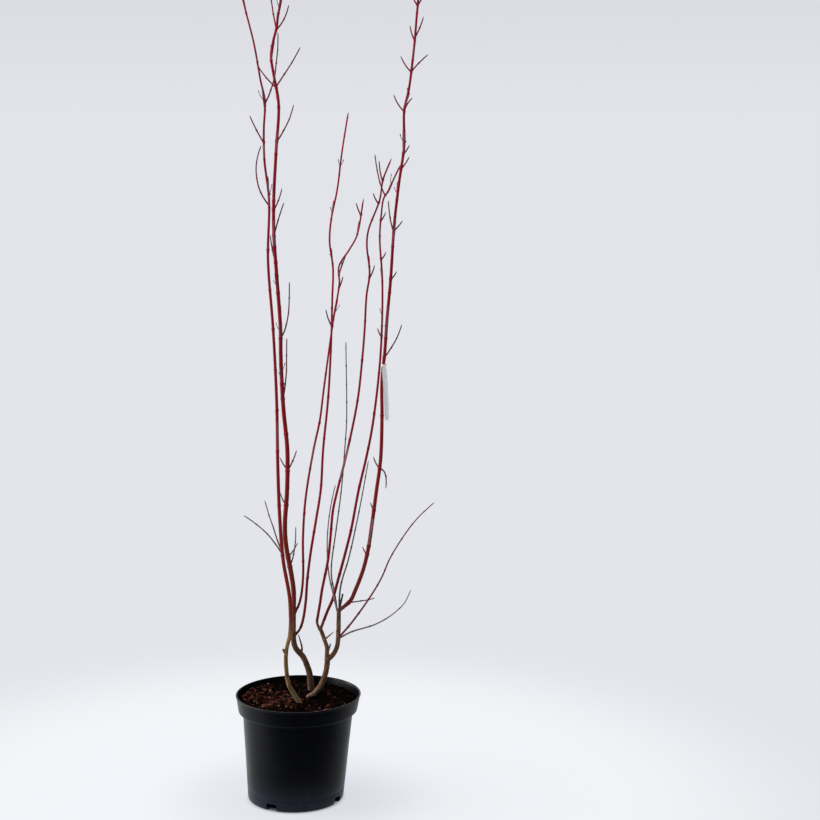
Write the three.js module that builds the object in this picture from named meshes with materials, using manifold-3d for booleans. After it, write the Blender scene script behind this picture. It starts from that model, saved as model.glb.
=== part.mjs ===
// Red osier dogwood in a round nursery pot, bare of leaves. Millimetres, +Z up.
// The origin is the middle of the pot's flat underside. +X is to the right and +Y to the back.
// The pot is soft and leans a little, so the shrub is measured from the middle of its rim.
import * as THREE from "three";
import { mergeVertices } from "three/addons/utils/BufferGeometryUtils.js";
import Module from "manifold-3d";

const wasm = await Module();
wasm.setup();

// Driving dimensions of the whole thing
const CLEAR = 0.3; // between two pieces that touch
const SEED = 41;

// Pot: a moulded container, with a lip that steps out from the wall and leans outwards to the rim
const pot = {
  height: 211,
  lean: 7,
  baseRadius: 94.3,
  cornerRadius: 6,
  shoulderRadius: 107.9,
  lipHeight: 32,
  lipRadius: 116.5,
  rimRadius: 121.5,
  beadRadius: 122.5,
  beadHeight: 2.5,
  wall: 2.2,
  floor: 5.5,
  segments: 48,
};
// Drain holes: each goes through the corner, up the wall and along the base
const drain = { count: 4, firstTurn: -27, width: 22, top: 15, depth: 28 };

// Compost: fills the pot to a flat middle where the stems stand, and rises a little towards the wall
const compost = { level: 190, edgeLevel: 195, flatRadius: 82 };

// Canes: every bend of a cane's centre line, from its root to its tip, and its radius at both ends.
// trunkTop is the height where old wood ends, with a radius of its own, and boughTop where side twigs begin.
const canes = {
  left: {
    bends: [[4, -5, 190], [-9, -6, 213], [-18, -7, 230], [-23, -9, 271], [-22, -10, 300], [-14.5, -12, 335],
      [-14, -13, 402], [-26, -15, 482], [-31, -22, 563], [-33, -32, 662], [-33, -45, 799], [-37, -59, 934],
      [-44, -73, 1066], [-40, -84, 1176], [-47, -91, 1249], [-47, -97, 1304], [-44, -102, 1356], [-51, -105, 1391],
      [-62, -111, 1458], [-80, -120, 1534], [-92, -126, 1596]],
    radii: [4.7, 3.5, 1.5], trunkTop: 368, boughTop: 1120, color: 0x7a1f2b,
  },
  tall: {
    bends: [[22, 65, 190], [18, 60, 236], [7, 57, 267], [-9, 53, 290], [-11, 40, 345], [-10, 38, 409],
      [-24, 30, 508], [-25, 31, 545], [-20.5, 32, 605], [-19, 33, 689], [-26, 35, 772], [-30, 38, 865],
      [-30.5, 40, 930], [-36, 42, 1019], [-41, 44, 1100], [-41, 43, 1165], [-35, 39, 1262], [-29, 36, 1352],
      [-37.5, 34, 1406], [-42, 33, 1440], [-37, 32, 1470], [-31, 32, 1492], [-28, 31, 1515], [-22, 30, 1544],
      [-14, 26, 1640], [-4, 24, 1755]],
    radii: [6.5, 4.55, 2], trunkTop: 400, boughTop: 775, color: 0x8a1c2c,
  },
  inner: {
    bends: [[-10, 42, 355], [3, 36, 389], [9.5, 27, 436], [11, 14, 520], [17, 4, 597], [34, -10, 697],
      [47, -17, 756], [55, -24, 815], [69, -35, 912], [76, -42, 958], [87, -53, 1019], [87, -59, 1053],
      [107, -66, 1085], [121, -74, 1111], [134, -92, 1180]],
    radii: [2.2, 1.35], boughTop: 908, color: 0x7d2430,
  },
  back: {
    bends: [[-10, 45, 314], [1, 49, 327], [7, 55, 344], [12, 69, 378], [15, 75, 420], [22, 82, 475], [32, 89, 535],
      [42, 97, 598], [47, 103, 677], [57, 111, 776], [63, 118, 875], [66, 129, 975], [67.5, 135, 1035],
      [61, 141, 1086], [64, 146, 1128], [76, 153, 1187], [86, 164, 1264], [98, 175, 1338]],
    radii: [2.45, 1.45], boughTop: 1000, color: 0x74242f,
  },
  front: {
    bends: [[42, 27, 331], [36.5, 25, 347], [38.5, 21, 362], [43, 15, 388], [47.5, 9, 417], [60, 0, 479],
      [65, -7, 522], [71, -14, 581], [80, -19, 621], [100, -30, 701], [120, -41, 799], [129, -50, 876],
      [134, -57, 933], [138, -65, 998], [144, -70, 1041], [139, -66, 1093], [142, -64, 1120], [163, -60, 1176],
      [169, -52, 1212], [185, -44, 1252]],
    radii: [2.5, 1.4], boughTop: 1010, color: 0x7b2530,
  },
  middle: {
    bends: [[42, 28, 330], [57, 38, 368], [66, 42, 388], [77, 50, 426], [93, 57, 485], [103, 62, 525],
      [118, 71, 603], [132, 78, 662], [144, 83, 721], [155, 91, 802], [162, 97, 880], [165, 105, 965],
      [164.5, 109, 1023], [160, 114, 1094], [163, 118, 1140], [168, 121, 1172], [178, 125, 1187], [186, 128, 1206],
      [201, 136, 1237]],
    radii: [2.7, 1.45], boughTop: 880, color: 0x80242f,
  },
  right: {
    bends: [[77, 34, 367], [87, 34, 375], [102, 34, 389], [112, 33, 411], [127, 31, 451], [137, 30, 492],
      [146, 27, 552], [154, 24, 612], [162, 21, 672], [165, 17, 755], [165, 15, 825], [171, 15, 887],
      [175, 15, 945], [182, 15, 1021], [188, 17, 1112], [192, 20, 1154], [199, 24, 1210], [208, 29, 1275],
      [208, 33, 1338], [217, 36, 1380], [223, 40, 1425], [228, 44, 1470], [231, 47, 1508], [235, 50, 1555],
      [240, 54, 1672]],
    radii: [3.75, 2], boughTop: 866, color: 0x8a1d2d,
  },
};

// The old stump on the right: a short butt that forks in two
const stump = {
  butt: { bends: [[17, 35, 190], [33, 34, 203], [44, 33, 219], [53, 31, 246], [57, 30, 277]], radii: [5.8, 5.4] },
  leftArm: { bends: [[55, 30, 270], [55, 30, 296], [49, 29, 315], [42, 28, 336]], radii: [4.3, 3.9] },
  rightArm: { bends: [[55, 30, 270], [66, 30, 279], [75, 31, 296], [78, 33, 330], [79, 34, 374]], radii: [4.8, 4.2] },
};

// Foot of a trunk: how much wider the bark is where it meets the compost, and how fast that fades
const flare = { gain: 0.55, fade: 14 };

// Side twigs that show: height on the cane, turn about it in degrees (0 is to the right, 90 is to the back),
// how far the tip lies out and up from there, how strongly the twig bows, and how far its middle bulges out
const twigsThatShow = {
  left: [[1166, 184, 13, 110, 0.2, 31], [1280, 172, 26, 50, 0.1], [1352, 12, 26, 126, 0.8]],
  tall: [[790, 4, 9, 118, 1], [908, 8, 18, 108, 1.1], [1052, 176, 10, 53, 0.3], [1103, 8, 20, 64, -0.1],
    [1152, 350, 17, 42, 0.4], [1281, 6, 33, 70, 0.3], [1382, 188, 35, 42, 0.2], [1384, 8, 47, 74, 0.1],
    [1490, 178, 14, 86, 0.1], [1489, 4, 24, 46, 0.5], [1600, 12, 30, 66, 0.3], [1604, 196, 24, 52, 0.3]],
  inner: [[937, 186, 12, 34, 0.4], [1148, 182, 9, 24, 0.3], [1012, 10, 8, 22, 0.3]],
  back: [],
  front: [[1169, 184, 10, 20, 0.4], [1210, 172, 7, 38, 0.6], [1032, 2, 10, 24, 0.4]],
  middle: [[903, 182, 8, 18, 0.4], [1053, 6, 10, 16, 0.4], [1128, 4, 10, 18, 0.4], [1177, 178, 20, 80, 0.5]],
  right: [[872, 6, 34, 64, 0.3], [1022, 8, 12, 16, 0.3], [1112, 180, 10, 60, 0.5], [1114, 4, 17, 20, 0.2],
    [1230, 8, 16, 24, 0.2], [1258, 10, 12, 18, 0.3], [1338, 176, 20, 32, 0.4], [1340, 6, 16, 24, -0.3],
    [1411, 184, 20, 30, 0.3], [1412, 8, 32, 32, -0.1], [1470, 176, 9, 28, 0.5], [1476, 6, 16, 38, 0.3],
    [1534, 182, 18, 44, 0.4], [1535, 4, 22, 48, 0.3], [1606, 172, 18, 40, 0.3]],
};

// Twigs on the bare lower lengths, each a piece of its own: the limb it grows on, then as above
const sprays = {
  left_low: ["left", 492, 186, 74, 80, -0.35],
  left_upright: ["left", 496, 178, 33, 104, 0.1],
  left_front: ["left", 700, 274, 30, 62, 0.3],
  tall_low: ["tall", 458, 350, 13, 80, 0.8],
  tall_short: ["tall", 477, 26, 22, 27, 0.2],
  tall_left: ["tall", 581, 184, 12, 27, 0.4],
  tall_back: ["tall", 655, 94, 32, 56, 0.3],
  tall_pair_left: ["tall", 650, 190, 15, 26, 0.2],
  tall_pair_right: ["tall", 649, 8, 18, 40, 0.3],
  back_outer: ["back", 700, 93, 34, 70, 0.3],
  inner_front: ["inner", 660, 273, 28, 58, 0.3],
  front_outer: ["front", 640, 272, 34, 74, 0.3],
  middle_outer: ["middle", 610, 91, 36, 66, 0.3],
  right_low: ["right", 385, 4, 52, 9, 0.6],
  right_spur_low: ["right", 482, 184, 9, 17, 0.3],
  right_spur: ["right", 572, 184, 7, 16, 0.3],
  right_front: ["right", 500, 271, 30, 64, 0.3],
  right_pair_left: ["right", 655, 186, 12, 24, 0.4],
  right_pair_right: ["right", 655, 4, 12, -40, 1.5],
  right_back: ["right", 760, 91, 32, 60, 0.3],
};

// Long thin shoots from the stump: the limb each grows on, its bends and its thickness
const shoots = {
  shoot_thin_left: { on: "fork_right", radii: [1.5, 0.85],
    bends: [[78, 33, 358], [71, 25, 393], [60, 12, 455], [59, 1, 525], [66, -11, 585], [76, -20, 632]] },
  shoot_thin_tall: { on: "fork_right", radii: [1.5, 0.9],
    bends: [[78, 34, 352], [71, 50, 395], [64.5, 53, 430], [64, 58, 455], [73, 72, 522], [83, 86, 598],
      [91, 95, 690], [94, 99, 738], [93, 110, 893]] },
  shoot_cut: { on: "fork_right", radii: [2, 1.7], bends: [[79, 34, 366], [81.5, 35, 378], [87, 36, 402]] },
  shoot_middle: { on: "fork_right", radii: [1.7, 0.9],
    bends: [[79, 34, 354], [82, 53, 412], [98, 77, 466], [119, 108, 560], [136, 140, 650]] },
  shoot_red: { on: "fork_right", radii: [2, 0.8],
    bends: [[78, 30, 314], [107, 17, 352], [143, 7, 406], [164, -4, 445], [181, -11, 486], [213, -21, 540],
      [236, -26, 570], [266, -32, 600]] },
  shoot_grey: { on: "fork_right", radii: [1.8, 0.8],
    bends: [[78, 33, 312], [102, 49, 321], [147, 65, 331], [174, 78, 342], [194, 88, 355], [208, 96, 368],
      [221, 109, 392]] },
  spur_high: { on: "fork_left", radii: [1.8, 1.3], bends: [[54, 29, 286], [58.5, 27, 291], [62.5, 25, 304]] },
  spur_low: { on: "fork_left", radii: [1.6, 1], bends: [[50, 29, 311], [61, 22, 322], [69, 17, 330]] },
  stub_left: { on: "trunk_left", radii: [2.4, 2], bends: [[-21, -10, 291], [-26, -11, 298], [-28.5, -12, 304]] },
  stub_back: { on: "trunk_back", radii: [2, 1.2],
    bends: [[1, 56, 274], [4.6, 56, 284], [2, 55, 299], [-2, 53, 314]] },
};

// Plant tag: a narrow loop round the right cane and a plain strip that hangs from it
const tag = { height: 858, loopRadius: 4.6, loopWidth: 3.6, thickness: 0.7, width: 9, length: 108, lean: 3 };

// Growth rule of the twigs that don't show: pairs at even steps, in the plane that runs front to back
const rule = {
  internode: 88,
  facings: [93, 273],
  spread: 5,
  out: [20, 44],
  up: [26, 74],
  missing: 0.22,
  space: 95,
  room: 4,
};
const twigWood = { root: 1.35, tip: 0.8, sides: 3, steps: 4 };

const colors = { bark: 0x75593a, oldBark: 0x5b4533, pot: 0x1d1d21, compost: 0x35231b, tag: 0xd9dbd6 };

// A repeatable stream of numbers from 0 to 1
function draws(seed) {
  let state = seed;
  return () => (state = (state * 16807) % 2147483647) / 2147483647;
}

const point = (p) => new THREE.Vector3(...p);
const radians = THREE.MathUtils.degToRad;

// A closed three.js geometry as a solid
function solidOf(geometry) {
  const bare = geometry.index ? geometry.toNonIndexed() : geometry.clone();
  bare.deleteAttribute("normal");
  bare.deleteAttribute("uv");
  const merged = mergeVertices(bare, 1e-4);
  return new wasm.Manifold(
    new wasm.Mesh({
      numProp: 3,
      vertProperties: new Float32Array(merged.attributes.position.array),
      triVerts: new Uint32Array(merged.index.array),
    }),
  );
}

// The largest body of a solid, as a three.js geometry
function geometryOf(solid) {
  const bodies = solid.decompose().sort((a, b) => b.volume() - a.volume());
  const mesh = bodies[0].getMesh();
  const corners = new Float32Array(mesh.numVert * 3);
  for (let i = 0; i < mesh.numVert; i++) {
    corners.set(mesh.vertProperties.subarray(i * mesh.numProp, i * mesh.numProp + 3), i * 3);
  }
  const geometry = new THREE.BufferGeometry();
  geometry.setAttribute("position", new THREE.BufferAttribute(corners, 3));
  geometry.setIndex(new THREE.BufferAttribute(new Uint32Array(mesh.triVerts), 1));
  return geometry;
}

// The direction of a line at each of its points
function directions(line) {
  return line.map((_, i) => {
    const before = line[Math.max(i - 1, 0)];
    const after = line[Math.min(i + 1, line.length - 1)];
    return after.clone().sub(before).normalize();
  });
}

// A round bar along a row of centres, closed by a flat cut at each end.
// With a ground level, the first cut is level with it.
function bar(centres, alongs, radii, sides, ground) {
  const corners = [];
  const faces = [];
  let across = new THREE.Vector3(1, 0, 0);
  centres.forEach((centre, i) => {
    const along = alongs[i];
    across = across.clone().addScaledVector(along, -across.dot(along)).normalize();
    const over = along.clone().cross(across);
    for (let k = 0; k < sides; k++) {
      const turn = (2 * Math.PI * k) / sides;
      const corner = centre.clone();
      corner.addScaledVector(across, radii[i] * Math.cos(turn)).addScaledVector(over, radii[i] * Math.sin(turn));
      if (i === 0 && ground !== undefined) corner.addScaledVector(along, (ground - corner.z) / along.z);
      corners.push(corner.x, corner.y, corner.z);
    }
  });
  for (let i = 0; i + 1 < centres.length; i++) {
    for (let k = 0; k < sides; k++) {
      const a = i * sides + k;
      const b = i * sides + ((k + 1) % sides);
      faces.push(a, b, b + sides, a, b + sides, a + sides);
    }
  }
  const last = (centres.length - 1) * sides;
  for (let k = 1; k + 1 < sides; k++) {
    faces.push(0, k + 1, k, last, last + k, last + k + 1);
  }
  const geometry = new THREE.BufferGeometry();
  geometry.setAttribute("position", new THREE.Float32BufferAttribute(corners, 3));
  geometry.setIndex(faces);
  return solidOf(geometry);
}

// How far apart a limb's rings may lie, and how much it may turn between two of them
const ringSpacing = {
  cane: { furthest: 80, turn: radians(6), pace: 4 },
  stump: { furthest: 16, turn: radians(14), pace: 4 },
  shoot: { furthest: 60, turn: radians(8), pace: 4 },
};

// A limb's centre line through its bends, with its thickness at any place along it
class Limb {
  constructor({ bends, radii, trunkTop }) {
    this.curve = new THREE.CatmullRomCurve3(bends.map(point));
    this.curve.arcLengthDivisions = 400;
    this.length = this.curve.getLength();
    this.foot = radii[0];
    this.young = radii[radii.length - 2];
    this.tip = radii[radii.length - 1];
    this.trunkLength = trunkTop ? this.reaching(trunkTop) : 0;
  }
  at(s) {
    return this.curve.getPointAt(THREE.MathUtils.clamp(s / this.length, 0, 1));
  }
  along(s) {
    return this.curve.getTangentAt(THREE.MathUtils.clamp(s / this.length, 0, 1));
  }
  radius(s) {
    if (s < this.trunkLength) return THREE.MathUtils.lerp(this.foot, this.young, s / this.trunkLength);
    return THREE.MathUtils.mapLinear(s, this.trunkLength, this.length, this.young, this.tip);
  }
  // distance along the limb at which it reaches a height
  reaching(height) {
    let low = 0;
    let high = this.length;
    while (high - low > 0.01) {
      const middle = (low + high) / 2;
      if (this.at(middle).z < height) low = middle;
      else high = middle;
    }
    return low;
  }
  // distances of the rings that shape a stretch, closer together where the limb turns
  rings(from, to, { furthest, turn, pace }) {
    const places = [from];
    for (let s = from + pace; s < to - pace; s += pace) {
      const last = places[places.length - 1];
      const turned = this.along(s).angleTo(this.along(last));
      if (s - last >= furthest || turned > turn) places.push(s);
    }
    return [...places, to];
  }
  // the stretch between two distances as a solid, swollen by grow
  stretch(from, to, { grow = 0, sides = 8, spacing = ringSpacing.cane, ground, flared = false } = {}) {
    const places = this.rings(from, to, spacing);
    const radii = places.map((s) => {
      const widening = flared ? 1 + flare.gain * Math.exp(-s / flare.fade) : 1;
      return this.radius(s) * widening + grow;
    });
    return bar(places.map((s) => this.at(s)), places.map((s) => this.along(s)), radii, sides, ground);
  }
}

// A side twig as a short bowed line from the middle of its limb to its tip.
// One that faces the front or the back leans to the side as its limb does there.
function twigLine(limb, [height, turn, out, up, bow, bulge = 0]) {
  const root = limb.at(limb.reaching(height));
  const side = new THREE.Vector3(Math.cos(radians(turn)), Math.sin(radians(turn)), 0);
  const lean = (limb.at(limb.reaching(height + up)).x - root.x) * side.y ** 2;
  const place = (o, u) => root.clone().addScaledVector(side, o).add(new THREE.Vector3((lean * u) / up, 0, u));
  const knee = place(out * (0.5 + 0.5 * bow) + bulge, up * (0.5 - 0.3 * bow));
  const curve = new THREE.QuadraticBezierCurve3(root, knee, place(out, up));
  return curve.getPoints(twigWood.steps);
}

function twigSolid(line, grow = 0) {
  const radii = line.map((_, i) => THREE.MathUtils.lerp(twigWood.root, twigWood.tip, i / (line.length - 1)) + grow);
  return bar(line, directions(line), radii, twigWood.sides);
}

const plant = new THREE.Group();
const shrub = new THREE.Group();
shrub.position.x = pot.lean;
plant.add(shrub);
const swollen = {};

// Adds one named piece, cut clear of the pieces that it grows on or passes
function place(name, color, roughness, build, clearOf = [], group = shrub) {
  const solid = clearOf.reduce((rest, other) => rest.subtract(swollen[other]), build(0));
  swollen[name] = build(CLEAR);
  const material = new THREE.MeshStandardMaterial({ color, roughness, metalness: 0 });
  const mesh = new THREE.Mesh(geometryOf(solid), material);
  mesh.name = name;
  group.add(mesh);
}

// Pot
function turned(profile, segments) {
  const geometry = new THREE.LatheGeometry(profile.map(([r, z]) => new THREE.Vector2(r, z)), segments);
  return geometry.rotateX(Math.PI / 2);
}

// the sideways lean of the soft wall, from nothing at the base to its full width at the rim
const leaning = new THREE.Matrix4().makeShear(0, 0, 0, 0, pot.lean / pot.height, 0);

function box(width, depth, low, high, middle, turn) {
  const geometry = new THREE.BoxGeometry(width, depth, high - low);
  geometry.translate(0, middle, (low + high) / 2);
  geometry.rotateZ(radians(turn));
  return solidOf(geometry);
}

const shoulder = pot.height - pot.lipHeight;
function potSolid() {
  const corner = Array.from({ length: 4 }, (_, i) => {
    const turn = (Math.PI / 2) * (i / 3);
    const r = pot.baseRadius - pot.cornerRadius * (1 - Math.sin(turn));
    return [r, pot.cornerRadius * (1 - Math.cos(turn))];
  });
  const lipInside = pot.lipRadius - pot.wall;
  const profile = [
    [0, 0],
    ...corner,
    [pot.shoulderRadius, shoulder - pot.wall],
    [pot.lipRadius, shoulder],
    [pot.rimRadius, pot.height - pot.beadHeight],
    [pot.beadRadius, pot.height - pot.beadHeight],
    [pot.beadRadius, pot.height],
    [pot.rimRadius - pot.wall, pot.height],
    [lipInside, shoulder + pot.wall],
    [pot.shoulderRadius - pot.wall, shoulder],
    [pot.baseRadius - pot.wall, pot.floor],
    [0, pot.floor],
  ];
  let solid = solidOf(turned(profile, pot.segments).applyMatrix4(leaning));
  const outside = pot.baseRadius + pot.cornerRadius;
  const inside = pot.baseRadius - drain.depth;
  for (let i = 0; i < drain.count; i++) {
    const turn = drain.firstTurn + (360 * i) / drain.count;
    solid = solid.subtract(box(drain.width, outside - inside, -1, drain.top, -(outside + inside) / 2, turn));
  }
  return solid;
}

function compostSolid() {
  const inside = pot.wall + CLEAR;
  const slope = (pot.rimRadius - pot.lipRadius) / pot.lipHeight;
  const edge = pot.lipRadius - inside - CLEAR + slope * (compost.edgeLevel - shoulder - pot.wall);
  const profile = [
    [0, pot.floor + CLEAR],
    [pot.baseRadius - inside, pot.floor + CLEAR],
    [pot.shoulderRadius - inside, shoulder + CLEAR],
    [pot.lipRadius - inside - CLEAR, shoulder + pot.wall + 2 * CLEAR],
    [edge, compost.edgeLevel],
    [compost.flatRadius, compost.level],
    [0, compost.level],
  ];
  return solidOf(turned(profile, pot.segments).applyMatrix4(leaning));
}

place("pot", colors.pot, 0.55, potSolid, [], plant);
place("compost", colors.compost, 0.95, compostSolid, [], plant);

// Trunks: the old wood from its flat cut on the compost to the place where the young red cane begins
const limbs = {};
for (const [name, cane] of Object.entries(canes)) limbs[name] = new Limb(cane);
for (const [name, part] of Object.entries(stump)) limbs[name] = new Limb(part);
const ground = compost.level + CLEAR;

function trunk(name, limb, top, color) {
  const end = top === undefined ? limb.length : limb.reaching(top) - CLEAR / 2;
  place(name, color, 0.8, (grow) => limb.stretch(0, end, { grow, ground, flared: true, spacing: ringSpacing.stump }));
}
trunk("trunk_left", limbs.left, canes.left.trunkTop, colors.bark);
trunk("trunk_back", limbs.tall, canes.tall.trunkTop, colors.oldBark);
trunk("trunk_right", limbs.butt, undefined, colors.bark);
const arm = (limb) => (grow) => limb.stretch(0, limb.length, { grow, spacing: ringSpacing.stump });
place("fork_left", colors.oldBark, 0.8, arm(limbs.leftArm), ["trunk_right"]);
place("fork_right", colors.oldBark, 0.8, arm(limbs.rightArm), ["trunk_right", "fork_left"]);

// Boughs: one tapering limb each, up to where its side twigs begin
const growsOn = {
  left: [], tall: [], inner: ["trunk_back"], back: ["trunk_back"], front: ["fork_left"],
  middle: ["fork_left", "bough_front"], right: ["fork_right"],
};
for (const [name, cane] of Object.entries(canes)) {
  const limb = limbs[name];
  const start = cane.trunkTop ? limb.reaching(cane.trunkTop) + CLEAR / 2 : 0;
  const end = limb.reaching(cane.boughTop) - CLEAR / 2;
  place("bough_" + name, cane.color, 0.5, (grow) => limb.stretch(start, end, { grow }), growsOn[name]);
}

// Whether a line stays clear of every other limb and twig
const taken = [];
function take(owner, line, thickness) {
  line.forEach((p) => taken.push({ owner, p, thickness }));
}
function isFree(owner, line) {
  return line.every((p) =>
    taken.every((other) => other.owner === owner || p.distanceTo(other.p) > other.thickness + rule.room));
}
for (const [name, limb] of Object.entries(limbs)) {
  const marks = Math.ceil(limb.length / (2 * rule.room));
  take(name, Array.from({ length: marks + 1 }, (_, i) => limb.at((limb.length * i) / marks)), limb.foot);
}
for (const [name, rows] of Object.entries(twigsThatShow)) {
  rows.forEach((row) => take(name, twigLine(limbs[name], row), twigWood.root));
}

// Pairs of twigs by the rule, up one cane from its lowest side twig
function twigsByRule(name, seed) {
  const limb = limbs[name];
  const draw = draws(seed);
  const between = ([low, high]) => low + (high - low) * draw();
  const rows = [];
  const first = limb.reaching(canes[name].boughTop) + rule.internode / 2;
  for (let s = first; s < limb.length - rule.internode / 2; s += rule.internode) {
    const fade = 1 - 0.5 * (s / limb.length) ** 2;
    for (const facing of rule.facings) {
      const turn = facing + rule.spread * (2 * draw() - 1);
      const row = [limb.at(s).z, turn, between(rule.out) * fade, between(rule.up) * fade, 0.1 + 0.4 * draw()];
      const present = draw() > rule.missing;
      const line = twigLine(limb, row);
      const inSpace = line.every((p) => p.distanceTo(limb.at(limb.reaching(p.z))) < rule.space);
      if (present && inSpace && isFree(name, line)) rows.push(row);
    }
  }
  rows.forEach((row) => take(name, twigLine(limb, row), twigWood.root));
  return rows;
}

// Masses: the cane's upper length with its side twigs sunk to its middle, one piece each
Object.entries(canes).forEach(([name, cane], order) => {
  const limb = limbs[name];
  const start = limb.reaching(cane.boughTop) + CLEAR / 2;
  const rows = [...twigsThatShow[name], ...twigsByRule(name, SEED + order)];
  const lines = rows.map((row) => twigLine(limb, row));
  const build = (grow) =>
    lines.reduce(
      (mass, line) => mass.add(twigSolid(line, grow)),
      limb.stretch(start, limb.length, { grow, sides: 6 }),
    );
  place("twigs_" + name, cane.color, 0.55, build);
});

// Sprays and shoots: lone twigs on the bare lower lengths and on the stump
for (const [name, [on, ...row]] of Object.entries(sprays)) {
  const cane = on.replace("trunk_", "");
  const line = twigLine(limbs[cane], row);
  const parent = on === cane ? "bough_" + cane : on;
  place("spray_" + name, canes[cane].color, 0.6, (grow) => twigSolid(line, grow), [parent]);
}
const shootNames = [];
for (const [name, { on, bends, radii }] of Object.entries(shoots)) {
  const limb = new Limb({ bends, radii });
  const build = (grow) => limb.stretch(0, limb.length, { grow, sides: 5, spacing: ringSpacing.shoot });
  place(name, colors.oldBark, 0.6, build, [on, "bough_right", ...shootNames]);
  shootNames.push(name);
}

// Tag
function tagSolid() {
  const limb = limbs.right;
  const s = limb.reaching(tag.height);
  const stem = limb.at(s);
  const slack = tag.loopRadius - limb.radius(s) - CLEAR;
  const outside = tag.loopRadius + tag.thickness;
  const half = tag.loopWidth / 2;
  const section = [
    [tag.loopRadius, -half],
    [outside, -half],
    [outside, half],
    [tag.loopRadius, half],
    [tag.loopRadius, -half],
  ];
  const loop = solidOf(turned(section, 20));
  const geometry = new THREE.BoxGeometry(tag.width, tag.thickness, tag.length);
  geometry.translate(0, 0, half - tag.length / 2);
  geometry.rotateY(radians(-tag.lean));
  geometry.translate(0, -tag.loopRadius - tag.thickness / 2, 0);
  return loop.add(solidOf(geometry)).translate([stem.x + slack, stem.y, stem.z]);
}
place("tag", colors.tag, 0.4, tagSolid);

export default plant;
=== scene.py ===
# Red osier dogwood in a round nursery pot, bare of leaves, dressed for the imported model.
# Metres, +Z up. The tables are in millimetres, as in the plant's source, and are scaled when a mesh is made.
import math

import bpy
import numpy as np
from mathutils import Matrix, Vector, kdtree, noise
from mathutils.bvhtree import BVHTree


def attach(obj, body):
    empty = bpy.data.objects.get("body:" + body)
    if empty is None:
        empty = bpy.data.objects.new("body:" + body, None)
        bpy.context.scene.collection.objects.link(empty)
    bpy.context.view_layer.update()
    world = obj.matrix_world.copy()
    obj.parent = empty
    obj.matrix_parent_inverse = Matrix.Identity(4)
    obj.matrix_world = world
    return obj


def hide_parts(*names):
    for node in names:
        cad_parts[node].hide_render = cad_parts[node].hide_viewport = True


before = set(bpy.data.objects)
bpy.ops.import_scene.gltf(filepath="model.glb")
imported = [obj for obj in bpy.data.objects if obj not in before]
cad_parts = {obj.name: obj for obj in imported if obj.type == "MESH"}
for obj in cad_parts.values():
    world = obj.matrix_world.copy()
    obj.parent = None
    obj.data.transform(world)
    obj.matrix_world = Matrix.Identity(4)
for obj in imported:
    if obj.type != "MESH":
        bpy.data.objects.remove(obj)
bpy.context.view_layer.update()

# Nursery pot
# One soft shell of black polypropylene, about 2 mm thick. The lip steps out from the wall and leans outwards
# to a rolled rim, and four drain holes go through the corner of the foot. It leans a little to the right.
MM = 0.001
POT_LEAN = 7 / 211  # sideways shift for each unit of height
POT_SIDES = 144
BASE_RADIUS = 94.3
SHOULDER_RADIUS = 107.9
FOOT_HEIGHT = 6
WALL_HEIGHT = 171
WALL_STEP = 9
LIP_FOOT = 176
WALL_SAG = 0.45  # how far the soft wall gives between the stiff lip and the foot
SAG_RADIUS = 85  # what lies within this radius is the base, and stays flat
DRAIN_TURNS = [math.radians(turn) for turn in (-27, 63, 153, 243)]
DRAIN_WIDTH = 22
DRAIN_TOP = 15
DRAIN_DEPTH = 28
DRAIN_OUT = 6  # how far what cuts a drain hole stands out of the wall
DRAIN_BELOW = 10  # and how far below the base


def wall_radius(z):
    return BASE_RADIUS + (SHOULDER_RADIUS - BASE_RADIUS) * (z - FOOT_HEIGHT) / WALL_HEIGHT


foot = [
    (20, 1.2), (77, 1.2), (79, 0.3), (81, 0), (88.3, 0), (91.2, 0.8), (93.4, 2.9), (94.3, 6), (95, 15),
    (95.5, 21.5),
]
groove = [(95.4, 22.6), (95.2, 23.6), (95.3, 24.6), (95.8, 25.8)]
wall = [(wall_radius(z), z) for z in range(36, 172, WALL_STEP)]
lip_foot = [
    (107.8, 176), (108.3, 177), (109.6, 177.7), (114.4, 178.4), (115.6, 178.8), (116.4, 179.6),
    (116.7, 180.6),
]
lip = [(117.2, 183.5), (118.3, 190), (119.5, 197.5), (120.7, 205)]
rolled_rim = [
    (121, 207.4), (121.4, 208.2), (122, 208.4), (122.4, 208.9), (122.5, 209.6), (122.3, 210.4),
    (121.7, 210.9), (120.9, 211), (120, 210.8), (119.4, 210.2),
]
inside = [
    (118.7, 207), (117.4, 199), (115.9, 190), (114.8, 183), (114.2, 181.8), (113, 181.3), (106.8, 180.4),
    (105.9, 179.6), (105.5, 177), (101.2, 120), (96.5, 62), (92.3, 9), (91.3, 6.6), (89.6, 5.6), (20, 5.5),
]


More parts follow.
